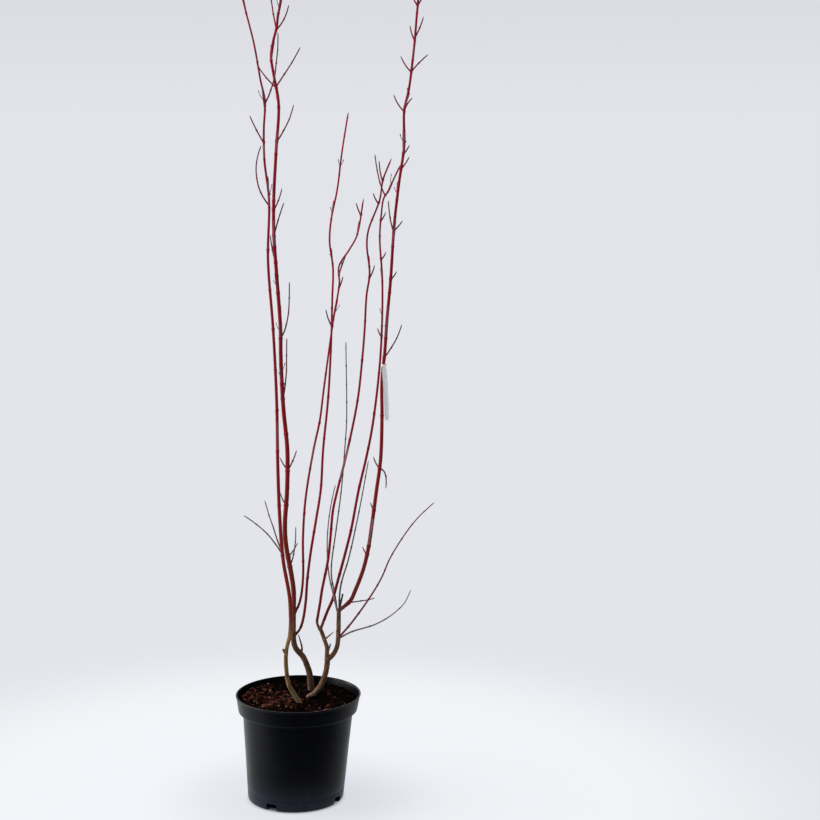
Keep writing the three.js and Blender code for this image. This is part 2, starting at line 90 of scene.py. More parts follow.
def turned_shell(name, profile):
    """A circle, extruded and scaled from one ring of a profile to the next, and filled at both ends."""
    bpy.ops.object.select_all(action="DESELECT")
    radius, height = profile[0]
    bpy.ops.mesh.primitive_circle_add(vertices=POT_SIDES, radius=radius * MM, location=(0, 0, height * MM))
    piece = bpy.context.object
    piece.name = name
    bpy.ops.object.transform_apply(location=True, rotation=True, scale=True)
    bpy.ops.object.mode_set(mode="EDIT")
    bpy.ops.mesh.select_mode(type="EDGE")
    bpy.ops.mesh.select_all(action="SELECT")
    for (r, z), (next_r, next_z) in zip(profile, profile[1:]):
        bpy.ops.mesh.extrude_edges_move(TRANSFORM_OT_translate={"value": (0, 0, (next_z - z) * MM)})
        grown = next_r / r
        bpy.ops.transform.resize(value=(grown, grown, 1), center_override=(0, 0, next_z * MM))
    bpy.ops.mesh.edge_face_add()
    bpy.ops.mesh.select_all(action="DESELECT")
    bpy.ops.mesh.select_non_manifold()
    bpy.ops.mesh.edge_face_add()
    bpy.ops.mesh.select_all(action="SELECT")
    bpy.ops.mesh.normals_make_consistent(inside=False)
    bpy.ops.object.mode_set(mode="OBJECT")
    return piece


def apply_modifier(piece, kind, **settings):
    """Adds a modifier, sets it and applies it."""
    bpy.context.view_layer.objects.active = piece
    made = piece.modifiers.new(kind.title(), kind)
    for setting, value in settings.items():
        setattr(made, setting, value)
    bpy.ops.object.modifier_apply(modifier=made.name)


pot = turned_shell("nursery_pot", foot + groove + wall + lip_foot + lip + rolled_rim + inside)

# each drain hole goes up the wall and in along the base
cutters = []
for turn in DRAIN_TURNS:
    bpy.ops.object.select_all(action="DESELECT")
    out = BASE_RADIUS + DRAIN_OUT - (DRAIN_DEPTH + DRAIN_OUT) / 2
    place = (out * MM * math.sin(turn), -out * MM * math.cos(turn), (DRAIN_TOP - DRAIN_BELOW) / 2 * MM)
    bpy.ops.mesh.primitive_cube_add(size=1, location=place, rotation=(0, 0, turn))
    cutter = bpy.context.object
    cutter.scale = (DRAIN_WIDTH * MM, (DRAIN_DEPTH + DRAIN_OUT) * MM, (DRAIN_TOP + DRAIN_BELOW) * MM)
    apply_modifier(cutter, "BEVEL", width=0.05, segments=3, affect="EDGES")
    cutters.append(cutter)
bpy.ops.object.select_all(action="DESELECT")
for cutter in cutters:
    cutter.select_set(True)
bpy.context.view_layer.objects.active = cutters[0]
bpy.ops.object.join()
bpy.ops.object.transform_apply(location=True, rotation=True, scale=True)
holes = bpy.context.object
apply_modifier(pot, "BOOLEAN", operation="DIFFERENCE", object=holes, solver="EXACT")
bpy.data.objects.remove(holes)
for corner in pot.data.vertices:
    x, y, z = corner.co
    turn = math.atan2(y, x)
    on_wall = math.hypot(x, y) > SAG_RADIUS * MM
    slack = WALL_SAG * MM * math.sin(math.pi * min(z / (LIP_FOOT * MM), 1)) if on_wall else 0
    dent = slack * noise.noise(Vector((2.2 * math.cos(turn), 2.2 * math.sin(turn), z * 14)))
    corner.co = (x + dent * math.cos(turn) + POT_LEAN * z, y + dent * math.sin(turn), z)


def colour(code):
    """A colour written as RRGGBB, as a shader takes it."""
    parts = [int(code[i : i + 2], 16) / 255 for i in (0, 2, 4)]
    return (*[p / 12.92 if p <= 0.04045 else ((p + 0.055) / 1.055) ** 2.4 for p in parts], 1)


class Wire:
    """An output socket of a material. Arithmetic on it adds Math nodes, and a tone may be given as RRGGBB."""

    def __init__(self, tree, socket):
        self.tree = tree
        self.socket = socket

    def node(self, kind, settings, values, output=0):
        """A node of any kind, with its settings made first and then its sockets filled or linked."""
        made = self.tree.nodes.new(kind)
        for name, value in settings.items():
            if name == "stops":
                while len(made.color_ramp.elements) < len(value):
                    made.color_ramp.elements.new(0.5)
                for stop, (position, tone) in zip(made.color_ramp.elements, value):
                    stop.position = position
                    stop.color = colour(tone)
            else:
                setattr(made, name, value)
        for name, value in values.items():
            if isinstance(value, Wire):
                self.tree.links.new(value.socket, made.inputs[name])
            else:
                made.inputs[name].default_value = colour(value) if isinstance(value, str) else value
        return Wire(self.tree, made.outputs[output])

    def maths(self, operation, first, second):
        return self.node("ShaderNodeMath", {"operation": operation}, {0: first, 1: second})

    def __add__(self, other):
        return self.maths("ADD", self, other)

    def __sub__(self, other):
        return self.maths("SUBTRACT", self, other)

    def __rsub__(self, other):
        return self.maths("SUBTRACT", other, self)

    def __mul__(self, other):
        return self.maths("MULTIPLY", self, other)

    __radd__ = __add__
    __rmul__ = __mul__

    def between(self, low, high):
        """This value as a mask that rises from 0 at low to 1 at high."""
        spread = {"From Min": low, "From Max": high, "To Min": 0, "To Max": 1}
        settings = {"interpolation_type": "SMOOTHSTEP"}
        return self.node("ShaderNodeMapRange", settings, {"Value": self, **spread})

    def mixes(self, first, second):
        """A colour between two, by this value."""
        return self.node("ShaderNodeMix", {"data_type": "RGBA"}, {0: self, 6: first, 7: second}, 2)

    def axis(self, number):
        """One of this vector's three numbers."""
        return self.node("ShaderNodeSeparateXYZ", {}, {0: self}, number)

    def stretched(self, scale):
        """This vector scaled by axis."""
        return self.node("ShaderNodeVectorMath", {"operation": "MULTIPLY"}, {0: self, 1: scale})

    def cloudy(self, scale, detail=3, roughness=0.5):
        """Soft noise over this vector."""
        values = {"Vector": self, "Scale": scale, "Detail": detail, "Roughness": roughness}
        return self.node("ShaderNodeTexNoise", {}, values)


class Finish:
    """A material with one principled shader."""

    def __init__(self, name, base, roughness, **constants):
        self.material = bpy.data.materials.new(name)
        self.material.use_nodes = True
        self.material.diffuse_color = colour(base)
        self.tree = self.material.node_tree
        self.shader = self.tree.nodes["Principled BSDF"]
        self.shader.inputs["Base Color"].default_value = colour(base)
        self.shader.inputs["Roughness"].default_value = roughness
        for name, value in constants.items():
            self.shader.inputs[name.replace("_", " ")].default_value = value
        self.place = Wire(self.tree, self.tree.nodes.new("ShaderNodeTexCoord").outputs["Object"])

    def feed(self, name, wire):
        self.tree.links.new(wire.socket, self.shader.inputs[name])

    def written(self, attribute, output):
        """What a mesh carries under this name, at each of its corners."""
        return self.place.node("ShaderNodeAttribute", {"attribute_name": attribute}, {}, output)

    def relief(self, height, distance, strength=1):
        values = {"Height": height, "Distance": distance, "Strength": strength}
        self.feed("Normal", self.place.node("ShaderNodeBump", {}, values))


def wear(piece, *finishes):
    """Gives a piece its materials."""
    piece.data.materials.clear()
    for finish in finishes:
        piece.data.materials.append(finish.material)


black_plastic = Finish("black_plastic", "020307", 0.35, Specular_IOR_Level=0.145)
where = black_plastic.place
handled = where.cloudy(26, 5, 0.65).between(0.45, 0.72)
drawn_lines = where.stretched((30, 30, 420)).cloudy(2.5, 2)
dusty = where.stretched((1, 1, 0.6)).cloudy(60, 6, 0.7).between(0.52, 0.85)
# painted reflection: the black plastic turns bluish grey over the lowest 70 mm, as if it mirrored the pale
# floor; this is mixed with real cloudy dust patches, which are heavier low down
painted_low_reflection = 1 - where.axis(2).between(0.0, 0.07)
dust_and_reflection = dusty * (0.03 + 0.16 * painted_low_reflection) + 0.15 * painted_low_reflection
black_plastic.feed("Base Color", dust_and_reflection.mixes("020307", "4a536c"))
black_plastic.feed("Roughness", 0.27 + 0.08 * handled + 0.3 * dust_and_reflection + 0.05 * drawn_lines)
black_plastic.relief(0.7 * drawn_lines + 0.5 * where.cloudy(900, 2), 0.0001, 0.6)
wear(pot, black_plastic)
bpy.context.view_layer.objects.active = pot
pot.select_set(True)
bpy.ops.object.shade_smooth_by_angle(angle=math.radians(32))
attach(pot, "root")
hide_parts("pot")

# Compost
# Coarse bark compost: a lumpy bed, with bark chips, crumbs and fibres lying on it. It dips to 20 mm under the
# rim round the feet of the stems, where it is damp and dark, and is banked up against the wall, most on the
# left.
BED_LEVEL = 190
BED_RINGS = 62
BED_RADIUS = 115.4
BED_EDGE = 183  # the bed's sides end here, and its top begins
BANK_FROM = 46  # distance from the middle at which the compost begins to rise
BANK_WIDTH = 66
HEAPS = ((3, -5), (21, 64), (19, 35))  # the feet of the three trunks
LIP_SLOPE = 0.156  # how far the lip leans out for each unit of height
CHIPS = 2700
CRUMBS = 4200
FIBRES = 560

bed_wall = [
    (20, 6), (89.2, 6), (91.8, 9.4), (96, 62), (100.7, 120), (105, 176), (105.4, 179.4), (106.4, 180.9),
    (113.2, 182),
]
bed_top = []
for ring in range(BED_RINGS):
    bed_top.append((BED_RADIUS * (1 - ring / (BED_RINGS + 1.2)), BED_LEVEL))
bed = turned_shell("compost_bed", bed_wall + bed_top)


def bed_bank(x, y):
    """How far the compost is banked up: most against the wall at the left and the back, and a little round
    the feet of the three trunks."""
    out = min(max((math.hypot(x, y) - BANK_FROM) / BANK_WIDTH, 0), 1)
    facing = 0.5 - 0.5 * (0.84 * x - 0.54 * y) / max(math.hypot(x, y), 1)
    heaped = sum(3.6 * math.exp(-((x - a) ** 2 + (y - b) ** 2) / 260) for a, b in HEAPS)
    return (3.5 + 8.5 * facing) * out * out * (3 - 2 * out) + heaped


def bed_lumps(x, y):
    """How far the compost stands above or below its general level, in lumps of three sizes."""
    lumps = 3.0 * noise.noise(Vector((x, y, 3)) / 17) + 1.7 * noise.noise(Vector((x, y, 9)) / 6)
    return lumps + 0.8 * noise.noise(Vector((x, y, 21)) / 2.4)


for corner in bed.data.vertices:
    x, y, z = corner.co / MM
    rise = 0
    if z > BED_EDGE:
        held = min(max((BED_RADIUS - math.hypot(x, y)) / 7, 0), 1)
        rise = bed_bank(x, y) + held * bed_lumps(x, y)
    spread = 1 + LIP_SLOPE * rise / BED_RADIUS
    corner.co = ((x * spread + POT_LEAN * z) * MM, y * spread * MM, (z + rise) * MM)
bed_surface = BVHTree.FromPolygons([v.co for v in bed.data.vertices], [p.vertices for p in bed.data.polygons])

humus = Finish("damp_humus", "0a0504", 0.9, Specular_IOR_Level=0)
grains = humus.place.cloudy(420, 5, 0.7)
grainy = grains.between(0.35, 0.7).mixes("030201", "150b08")
# painted shade: the bed's sides deep in the pot, seen only through the drain holes, are near black, and its
# grains show only towards its top
above_painted_shade = humus.place.axis(2).between(0.04, 0.14)
humus.feed("Base Color", above_painted_shade.mixes("010101", grainy))
humus.feed("Roughness", 0.7 + 0.3 * grains)
humus.relief(grains + 0.5 * humus.place.cloudy(1300, 3), 0.0011)
wear(bed, humus)
bpy.ops.object.shade_smooth()
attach(bed, "root")
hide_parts("compost")

luck = np.random.default_rng(41)


def lying_places(count, margin):
    """Places on the bed, in metres, with the slope of the bed there."""
    found = []
    while len(found) < count:
        r = (BED_RADIUS - margin) * math.sqrt(luck.random())
        turn = 2 * math.pi * luck.random()
        x, y = r * math.cos(turn), r * math.sin(turn)
        above = Vector((x * MM + POT_LEAN * BED_LEVEL * MM, y * MM, 0.25))
        hit, slope, _, _ = bed_surface.ray_cast(above, Vector((0, 0, -1)))
        found.append((hit, slope, x, y))
    return found


def scatter(name, shapes, finishes):
    """One mesh from many small closed shapes: a list of corners, faces and the number of a finish."""
    corners, faces, dealt = [], [], []
    for points, sides, finish in shapes:
        start = len(corners)
        corners.extend(points)
        faces.extend([[start + i for i in side] for side in sides])
        dealt.extend([finish] * len(sides))
    mesh = bpy.data.meshes.new(name)
    mesh.from_pydata(corners, [], faces)
    piece = bpy.data.objects.new(name, mesh)
    bpy.context.collection.objects.link(piece)
    wear(piece, *finishes)
    mesh.polygons.foreach_set("material_index", dealt)
    mesh.update()
    return piece


def tumbled(slope, tilt):
    """A random turn that lays a flat thing on a slope, tilted by up to so many degrees."""
    lie = Vector((0, 0, 1)).rotation_difference(slope).to_matrix()
    spin = Matrix.Rotation(2 * math.pi * luck.random(), 3, "Z")
    lean = Matrix.Rotation(math.radians(tilt) * luck.normal(0, 0.6), 3, "X")
    return lie @ spin @ lean


def flake(place, turn, length, width, thickness, corners):
    """An angular flake of bark, with its upper face a little smaller than its lower one."""
    points, above_painted_shade = [], []
    for i in range(corners):
        around = 2 * math.pi * (i + 0.6 * luck.random()) / corners
        reach = 0.78 + 0.32 * luck.random()
        x, y = reach * length / 2 * math.cos(around), reach * width / 2 * math.sin(around)
        curl = 0.25 * thickness * luck.normal()
        points.append(place + turn @ Vector((x, y, curl - thickness / 2)) * MM)
        above_painted_shade.append(place + turn @ Vector((0.86 * x, 0.86 * y, curl + thickness / 2)) * MM)
    faces = [list(range(corners))[::-1], list(range(corners, 2 * corners))]
    faces += [[i, (i + 1) % corners, corners + (i + 1) % corners, corners + i] for i in range(corners)]
    return points + above_painted_shade, faces


def toned_finishes(name, tones, sheen, grain, rough, depth):
    """Finishes that differ in their tone alone: sheen is roughness and gloss, grain is a fine noise, and
    rough is the roughness where that noise is lowest, and its rise."""
    finishes = []
    for number, tone in enumerate(tones):
        finish = Finish("%s_%d" % (name, number + 1), tone, sheen[0], Specular_IOR_Level=sheen[1])
        flecks = finish.place.cloudy(*grain)
        finish.feed("Roughness", rough[0] + rough[1] * flecks)
        finish.relief(flecks, depth)
        finishes.append(finish)
    return finishes


# each tone with how often it shows, and how much oftener among dry chips and among damp ones
bark_tones = {
    "4a2318": (0.012, 0.26, 0), "28130e": (0.08, 0.1, 0), "5e3226": (0.006, 0.2, 0),
    "85574a": (0.002, 0.075, 0), "060403": (0.1, 0, 0.5), "9c7468": (0.001, 0.03, 0),
    "110906": (0.14, 0, 0.16),
}
shares = np.array(list(bark_tones.values()))
bark_finishes = toned_finishes("bark_chip", bark_tones, (0.65, 0.01), (600, 4, 0.6), (0.5, 0.35), 0.0006)


def bark_tone(x, y):
    """Which tone a chip has: redder and paler on the left, dark and damp near the stems and to the right."""
    dry = math.exp(-(((x + 58) / 46) ** 2) - ((y - 20) / 50) ** 2)
    dry = max(dry, 0.33 * math.exp(-(((x - 66) / 30) ** 2) - ((y + 50) / 26) ** 2))
    dry = min(max(dry * (1.4 + 1.7 * noise.noise(Vector((x, y, 40)) / 15)), 0), 1)
    chances = shares[:, 0] + shares[:, 1] * dry + shares[:, 2] * (1 - dry)
    return int(luck.choice(len(bark_tones), p=chances / chances.sum()))


DIAMOND = [[0, 1, 4], [1, 2, 4], [2, 3, 4], [3, 0, 4], [1, 0, 5], [2, 1, 5], [3, 2, 5], [0, 3, 5]]

chips = []
for place, slope, x, y in lying_places(CHIPS, 5):
    length = luck.uniform(4, 11) if luck.random() < 0.88 else luck.uniform(11, 17)
    width = length * luck.uniform(0.3, 0.7)
    if math.hypot(x, y) + length / 2 > BED_RADIUS - 1.5:
        continue
    thickness = luck.uniform(0.8, 2.2)
    lift = Vector((0, 0, luck.uniform(0.1, 1.5) * MM))
    turn = tumbled(slope, 26)
    points, faces = flake(place + lift, turn, length, width, thickness, int(luck.integers(5, 8)))
    chips.append((points, faces, bark_tone(x, y)))
for place, slope, x, y in lying_places(CRUMBS, 3):
    size = luck.uniform(0.9, 2.8)
    turn = tumbled(slope, 60)
    ends = [(1, 0, 0), (0, 1, 0), (-1, 0, 0), (0, -1, 0), (0, 0, 1), (0, 0, -1)]
    points = [place + turn @ Vector([e * size * luck.uniform(0.4, 0.9) for e in end]) * MM for end in ends]
    chips.append((points, DIAMOND, bark_tone(x, y)))
bark_chips = scatter("compost_chips", chips, bark_finishes)
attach(bark_chips, "root")
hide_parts("compost")


def grown(name, strands, finishes, fineness):
    """Round strands as one mesh: a path whose points each carry a radius, made round and turned into faces.
    A strand is its points in millimetres, its radii, and the number of its finish."""
    bpy.ops.object.select_all(action="DESELECT")
    bpy.ops.curve.primitive_nurbs_path_add(radius=1, location=(0, 0, 0))
    path = bpy.context.object
    path.name = name
    path.data.splines.clear()
    path.data.bevel_depth = 1
    path.data.bevel_resolution = fineness
    path.data.use_fill_caps = True
    path.data.materials.clear()
    for finish in finishes:
        path.data.materials.append(finish.material)
    for points, radii, finish in strands:
        spline = path.data.splines.new("POLY")
        spline.points.add(len(points) - 1)
        spline.points.foreach_set("co", np.c_[np.asarray(points) * MM, np.ones(len(points))].ravel())
        spline.points.foreach_set("radius", np.asarray(radii) * MM)
        spline.material_index = finish
        spline.use_smooth = True
    bpy.ops.object.convert(target="MESH")
    piece = bpy.context.object
    piece.data.name = name
    bpy.ops.object.mode_set(mode="EDIT")
    bpy.ops.mesh.select_all(action="SELECT")
    bpy.ops.mesh.normals_make_consistent(inside=False)
    bpy.ops.object.mode_set(mode="OBJECT")
    return piece


fibre_strands = []
for place, slope, x, y in lying_places(FIBRES, 12):
    heading = 2 * math.pi * luck.random()
    length = luck.uniform(9, 26)
    if math.hypot(x, y) + length / 2 > 110:
        continue
    thick = luck.uniform(0.16, 0.5)
    swerve = luck.normal(0, 0.5)
    spine = np.array(place) / MM + [0, 0, luck.uniform(0.8, 2.6)]
    points = []
    for part in np.linspace(-0.5, 0.5, 7):
        aim = heading + swerve * part
        rise = 2.2 * (0.25 - part * part) * luck.random()
        points.append(spine + [length * part * math.cos(aim), length * part * math.sin(aim), rise])
    fibre_strands.append((points, [thick * w for w in (0.3, 0.8, 1, 1, 0.9, 0.7, 0.2)], bark_tone(x, y)))
fibres = grown("compost_fibres", fibre_strands, bark_finishes, 0)
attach(fibres, "root")
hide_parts("compost")

# Stems, as the plant's source measures them
# Each limb runs through its bends, from its root to its tip, measured from the middle of the rim. A cane's
# radii are at its root, where its old wood ends, and at its tip; bough_top is where its side twigs begin.
canes = {
    "left": {
        "bends": [
            (4, -5, 190), (-9, -6, 213), (-18, -7, 230), (-23, -9, 271), (-22, -10, 300), (-14.5, -12, 335),
            (-14, -13, 402), (-26, -15, 482), (-31, -22, 563), (-33, -32, 662), (-33, -45, 799),
            (-37, -59, 934), (-44, -73, 1066), (-40, -84, 1176), (-47, -91, 1249), (-47, -97, 1304),
            (-44, -102, 1356), (-51, -105, 1391), (-62, -111, 1458), (-80, -120, 1534), (-92, -126, 1596),
        ],
        "radii": (4.7, 3.5, 1.5), "trunk_top": 368, "bough_top": 1120,
    },
    "tall": {
        "bends": [
            (22, 65, 190), (18, 60, 236), (7, 57, 267), (-9, 53, 290), (-11, 40, 345), (-10, 38, 409),
            (-24, 30, 508), (-25, 31, 545), (-20.5, 32, 605), (-19, 33, 689), (-26, 35, 772), (-30, 38, 865),
            (-30.5, 40, 930), (-36, 42, 1019), (-41, 44, 1100), (-41, 43, 1165), (-35, 39, 1262),
            (-29, 36, 1352), (-37.5, 34, 1406), (-42, 33, 1440), (-37, 32, 1470), (-31, 32, 1492),
            (-28, 31, 1515), (-22, 30, 1544), (-14, 26, 1640), (-4, 24, 1755),
        ],
        "radii": (6.5, 4.55, 2), "trunk_top": 400, "bough_top": 775,
    },
    "inner": {
        "bends": [
            (-10, 42, 355), (3, 36, 389), (9.5, 27, 436), (11, 14, 520), (17, 4, 597), (34, -10, 697),
            (47, -17, 756), (55, -24, 815), (69, -35, 912), (76, -42, 958), (87, -53, 1019), (87, -59, 1053),
            (107, -66, 1085), (121, -74, 1111), (134, -92, 1180),
        ],
        "radii": (2.2, 1.35), "bough_top": 908,
    },
    "back": {
        "bends": [
            (-10, 45, 314), (1, 49, 327), (7, 55, 344), (12, 69, 378), (15, 75, 420), (22, 82, 475),
            (32, 89, 535), (42, 97, 598), (47, 103, 677), (57, 111, 776), (63, 118, 875), (66, 129, 975),
            (67.5, 135, 1035), (61, 141, 1086), (64, 146, 1128), (76, 153, 1187), (86, 164, 1264),
            (98, 175, 1338),
        ],
        "radii": (2.45, 1.45), "bough_top": 1000,
    },
    "front": {
        "bends": [
            (42, 27, 331), (36.5, 25, 347), (38.5, 21, 362), (43, 15, 388), (47.5, 9, 417), (60, 0, 479),
            (65, -7, 522), (71, -14, 581), (80, -19, 621), (100, -30, 701), (120, -41, 799), (129, -50, 876),
            (134, -57, 933), (138, -65, 998), (144, -70, 1041), (139, -66, 1093), (142, -64, 1120),
            (163, -60, 1176), (169, -52, 1212), (185, -44, 1252),
        ],
        "radii": (2.5, 1.4), "bough_top": 1010,
    },
    "middle": {
        "bends": [
            (42, 28, 330), (57, 38, 368), (66, 42, 388), (77, 50, 426), (93, 57, 485), (103, 62, 525),
            (118, 71, 603), (132, 78, 662), (144, 83, 721), (155, 91, 802), (162, 97, 880), (165, 105, 965),
            (164.5, 109, 1023), (160, 114, 1094), (163, 118, 1140), (168, 121, 1172), (178, 125, 1187),
            (186, 128, 1206), (201, 136, 1237),
        ],
        "radii": (2.7, 1.45), "bough_top": 880,
    },
    "right": {
        "bends": [
            (77, 34, 367), (87, 34, 375), (102, 34, 389), (112, 33, 411), (127, 31, 451), (137, 30, 492),
            (146, 27, 552), (154, 24, 612), (162, 21, 672), (165, 17, 755), (165, 15, 825), (171, 15, 887),
            (175, 15, 945), (182, 15, 1021), (188, 17, 1112), (192, 20, 1154), (199, 24, 1210),
            (208, 29, 1275), (208, 33, 1338), (217, 36, 1380), (223, 40, 1425), (228, 44, 1470),
            (231, 47, 1508), (235, 50, 1555), (240, 54, 1672),
        ],
        "radii": (3.75, 2), "bough_top": 866,
    },
}
stump = {
    "butt": {
        "bends": [(17, 35, 190), (33, 34, 203), (44, 33, 219), (53, 31, 246), (57, 30, 277)],
        "radii": (5.8, 5.4),
    },
    "left_arm": {
        "bends": [(55, 30, 270), (55, 30, 296), (49, 29, 315), (42, 28, 336)],
        "radii": (4.3, 3.9),
    },
    "right_arm": {
        "bends": [(55, 30, 270), (66, 30, 279), (75, 31, 296), (78, 33, 330), (79, 34, 374)],
        "radii": (4.8, 4.2),
    },
}
short_spurs = {
    "spur_high": {"bends": [(54, 29, 286), (58.5, 27, 291), (62.5, 25, 304)], "radii": (1.8, 1.3)},
    "spur_low": {"bends": [(50, 29, 311), (61, 22, 322), (69, 17, 330)], "radii": (1.6, 1)},
    "stub_left": {"bends": [(-21, -10, 291), (-26, -11, 298), (-28.5, -12, 304)], "radii": (2.4, 2)},
    "stub_back": {"bends": [(1, 56, 274), (4.6, 56, 284), (2, 55, 299), (-2, 53, 314)], "radii": (2, 1.2)},
}
RIM_MIDDLE = np.array([7, 0, 0])


def unit(vector):
    return vector / np.linalg.norm(vector)


class Limb:
    """A limb's centre line through its bends, with its thickness at any distance along it."""

    def __init__(self, bends, radii, trunk_top=None, bough_top=None):
        bends = np.array(bends, float) + RIM_MIDDLE
        self.bends = np.vstack([2 * bends[0] - bends[1], bends, 2 * bends[-1] - bends[-2]])
        self.marks = np.linspace(0, 1, 401)
        steps = np.diff(self.through(self.marks), axis=0)
        self.lengths = np.r_[0, np.cumsum(np.linalg.norm(steps, axis=1))]
        self.length = self.lengths[-1]
        self.foot, self.young, self.tip = radii[0], radii[-2], radii[-1]
        self.trunk_length = self.reaching(trunk_top) if trunk_top else 0
        self.crown = self.reaching(bough_top) if bough_top else self.length

    def through(self, share):
        """Points on a smooth line through the bends: share runs from 0 to 1, by bends."""
        last = len(self.bends) - 3
        spot = np.clip(share, 0, 1) * last
        first = np.minimum(np.floor(spot).astype(int), last - 1)
        part = (spot - first)[..., None]
        p0, p1, p2, p3 = (self.bends[first + k] for k in range(4))
        spans = (p1 - p0, p2 - p1, p3 - p2)
        d0, d1, d2 = (np.linalg.norm(span, axis=-1, keepdims=True) ** 0.5 for span in spans)
        leaving = ((p1 - p0) / d0 - (p2 - p0) / (d0 + d1) + (p2 - p1) / d1) * d1
        arriving = ((p2 - p1) / d1 - (p3 - p1) / (d1 + d2) + (p3 - p2) / d2) * d1
        square = 3 * (p2 - p1) - 2 * leaving - arriving
        cube = 2 * (p1 - p2) + leaving + arriving
        return p1 + part * (leaving + part * (square + part * cube))

    def at(self, s):
        """Points at distances along the limb, which may lie before its root."""
        s = np.asarray(s, float)
        on = self.through(np.interp(s, self.lengths, self.marks))
        before = np.minimum(s, 0)[..., None]
        start = self.through(np.array(self.marks[1])) - self.through(np.array(0.0))
        return on + before * start / np.linalg.norm(start)

    def along(self, s):
        """Direction of the limb at distances along it."""
        s = np.clip(s, 0.3, self.length - 0.3)
        step = self.at(s + 0.3) - self.at(s - 0.3)
        return step / np.linalg.norm(step, axis=-1, keepdims=True)

    def radius(self, s):
        """Half the limb's thickness at distances along it: one taper on old wood, and another on the cane."""
        old = self.foot + (self.young - self.foot) * np.clip(s, 0, None) / max(self.trunk_length, 1)
        past = s - self.trunk_length
        new = self.young + (self.tip - self.young) * past / (self.length - self.trunk_length)
        return np.where(s < self.trunk_length, old, new)

    def reaching(self, height):
        """The distance along the limb at which it reaches a height."""
        low, high = 0.0, self.length
        while high - low > 0.01:
            middle = (low + high) / 2
            if self.at(middle)[2] < height:
                low = middle
            else:
                high = middle
        return low


limbs = {name: Limb(**facts) for name, facts in {**canes, **stump}.items()}
spurs = {name: Limb(**facts) for name, facts in short_spurs.items()}

# Old wood
# The feet of the stems, two or more years old: dull tan and brown bark with shallow fissures along the grain,
# ring scars where a year's growth began, and a flare where they go into the compost. Each fork is grown
# together.
SUNK = 9  # how far a foot reaches into the compost
PLUG = 5  # how far old wood reaches into the cane that goes on from it
FORK_REACH = 20  # how much of a cane is grown together with the wood that it springs from
FORK_TURNING = 26  # length over which a fork's bark turns red
SWELLING = 0.3  # how much thicker a limb is where it springs from a fork
VOXEL = 0.00045  # metres, as all that a modifier takes
RING_SCARS = (31, 66, 84, 127, 139, 181)  # distances along a limb

old_wood = {
    "old_wood_left": {
        "nodes": ["trunk_left", "stub_left"],
        "limbs": [("left", -SUNK, limbs["left"].trunk_length)],
        "spurs": {"stub_left": 0.6},  # each with how far its root swells
        "fissures": 0.18, "lumps": 0.26, "turning": 44,
        "tones": ("9a7a4e", "7b5b39", "b09466", "5b442c"), "feet": "9c8a62", "young": "74342a",
    },
    "old_wood_back": {
        "nodes": ["trunk_back", "stub_back"],
        "limbs": [("tall", -SUNK, limbs["tall"].trunk_length), ("inner", 0, FORK_REACH),
                  ("back", 0, FORK_REACH)],
        "spurs": {"stub_back": 1.4},
        "fissures": 0.4, "lumps": 0.5, "turning": 120,
        "tones": ("806146", "5e4430", "987a5c", "3c2b1f"), "feet": "6e5a45", "young": "6c2a26",
    },
    "old_wood_right": {
        "nodes": ["trunk_right", "fork_left", "fork_right", "spur_high", "spur_low"],
        "limbs": [("butt", -SUNK, 1e3), ("left_arm", 0, 1e3), ("right_arm", 0, 1e3), ("front", 0, FORK_REACH),
                  ("middle", 0, FORK_REACH), ("right", 0, FORK_REACH)],
        "spurs": {"spur_high": 1.4, "spur_low": 1.4},
        "fissures": 0.32, "lumps": 0.42, "turning": 70,
        "tones": ("8c6750", "684a36", "a8846c", "46301f"), "feet": "826c5c", "young": "74322a",
    },
}
GRAIN = "grain"  # attribute: each place as on a straight limb, which keeps a pattern along the grain
YOUTH = "youth"  # attribute: how far bark has turned from old to red, and then how far up a cane it is


def flared(limb, s):
    """Thickness of a trunk near the compost, and where it narrows to its roots below."""
    flare = 1 + 0.15 * np.exp(-np.clip(s, 0, None) / 14)
    return limb.radius(s) * flare * np.interp(s, (-SUNK, -1), (0.5, 1))


def write_grain(piece, lines):
    """Writes where each corner lies on its nearest limb, and returns it: the limb's number, and the distance
    along it, turn and radius. A line is a list of points and their distances along a limb."""
    tree = kdtree.KDTree(sum(len(points) for points, _ in lines))
    owners = []
    for number, (points, distances) in enumerate(lines):
        across = np.array([1.0, 0, 0])
        for k, (point, distance) in enumerate(zip(points, distances)):
            along = unit(points[min(k + 1, len(points) - 1)] - points[max(k - 1, 0)])
            across = unit(across - along * across.dot(along))
            tree.insert(point, len(owners))
            owners.append((number, distance, across, np.cross(along, across), along, point))
    tree.balance()
    found = []
    for corner in piece.data.vertices:
        place = np.array(corner.co) / MM
        _, index, _ = tree.find(place)
        number, distance, across, over, along, point = owners[index]
        away = place - point
        x, y = away.dot(across), away.dot(over)
        found.append((number, distance + away.dot(along), math.atan2(y, x), math.hypot(x, y)))
    grain = piece.data.attributes.new(GRAIN, "FLOAT_VECTOR", "POINT")
    straight = [(r * math.cos(t) * MM, r * math.sin(t) * MM, (s + 500 * n) * MM) for n, s, t, r in found]
    grain.data.foreach_set("vector", np.array(straight, dtype=np.float32).ravel())
    return found


def write_youth(piece, values):
    """Writes how young the bark is at each corner."""
    youth = piece.data.attributes.new(YOUTH, "FLOAT", "POINT")
    youth.data.foreach_set("value", np.array(values, dtype=np.float32))


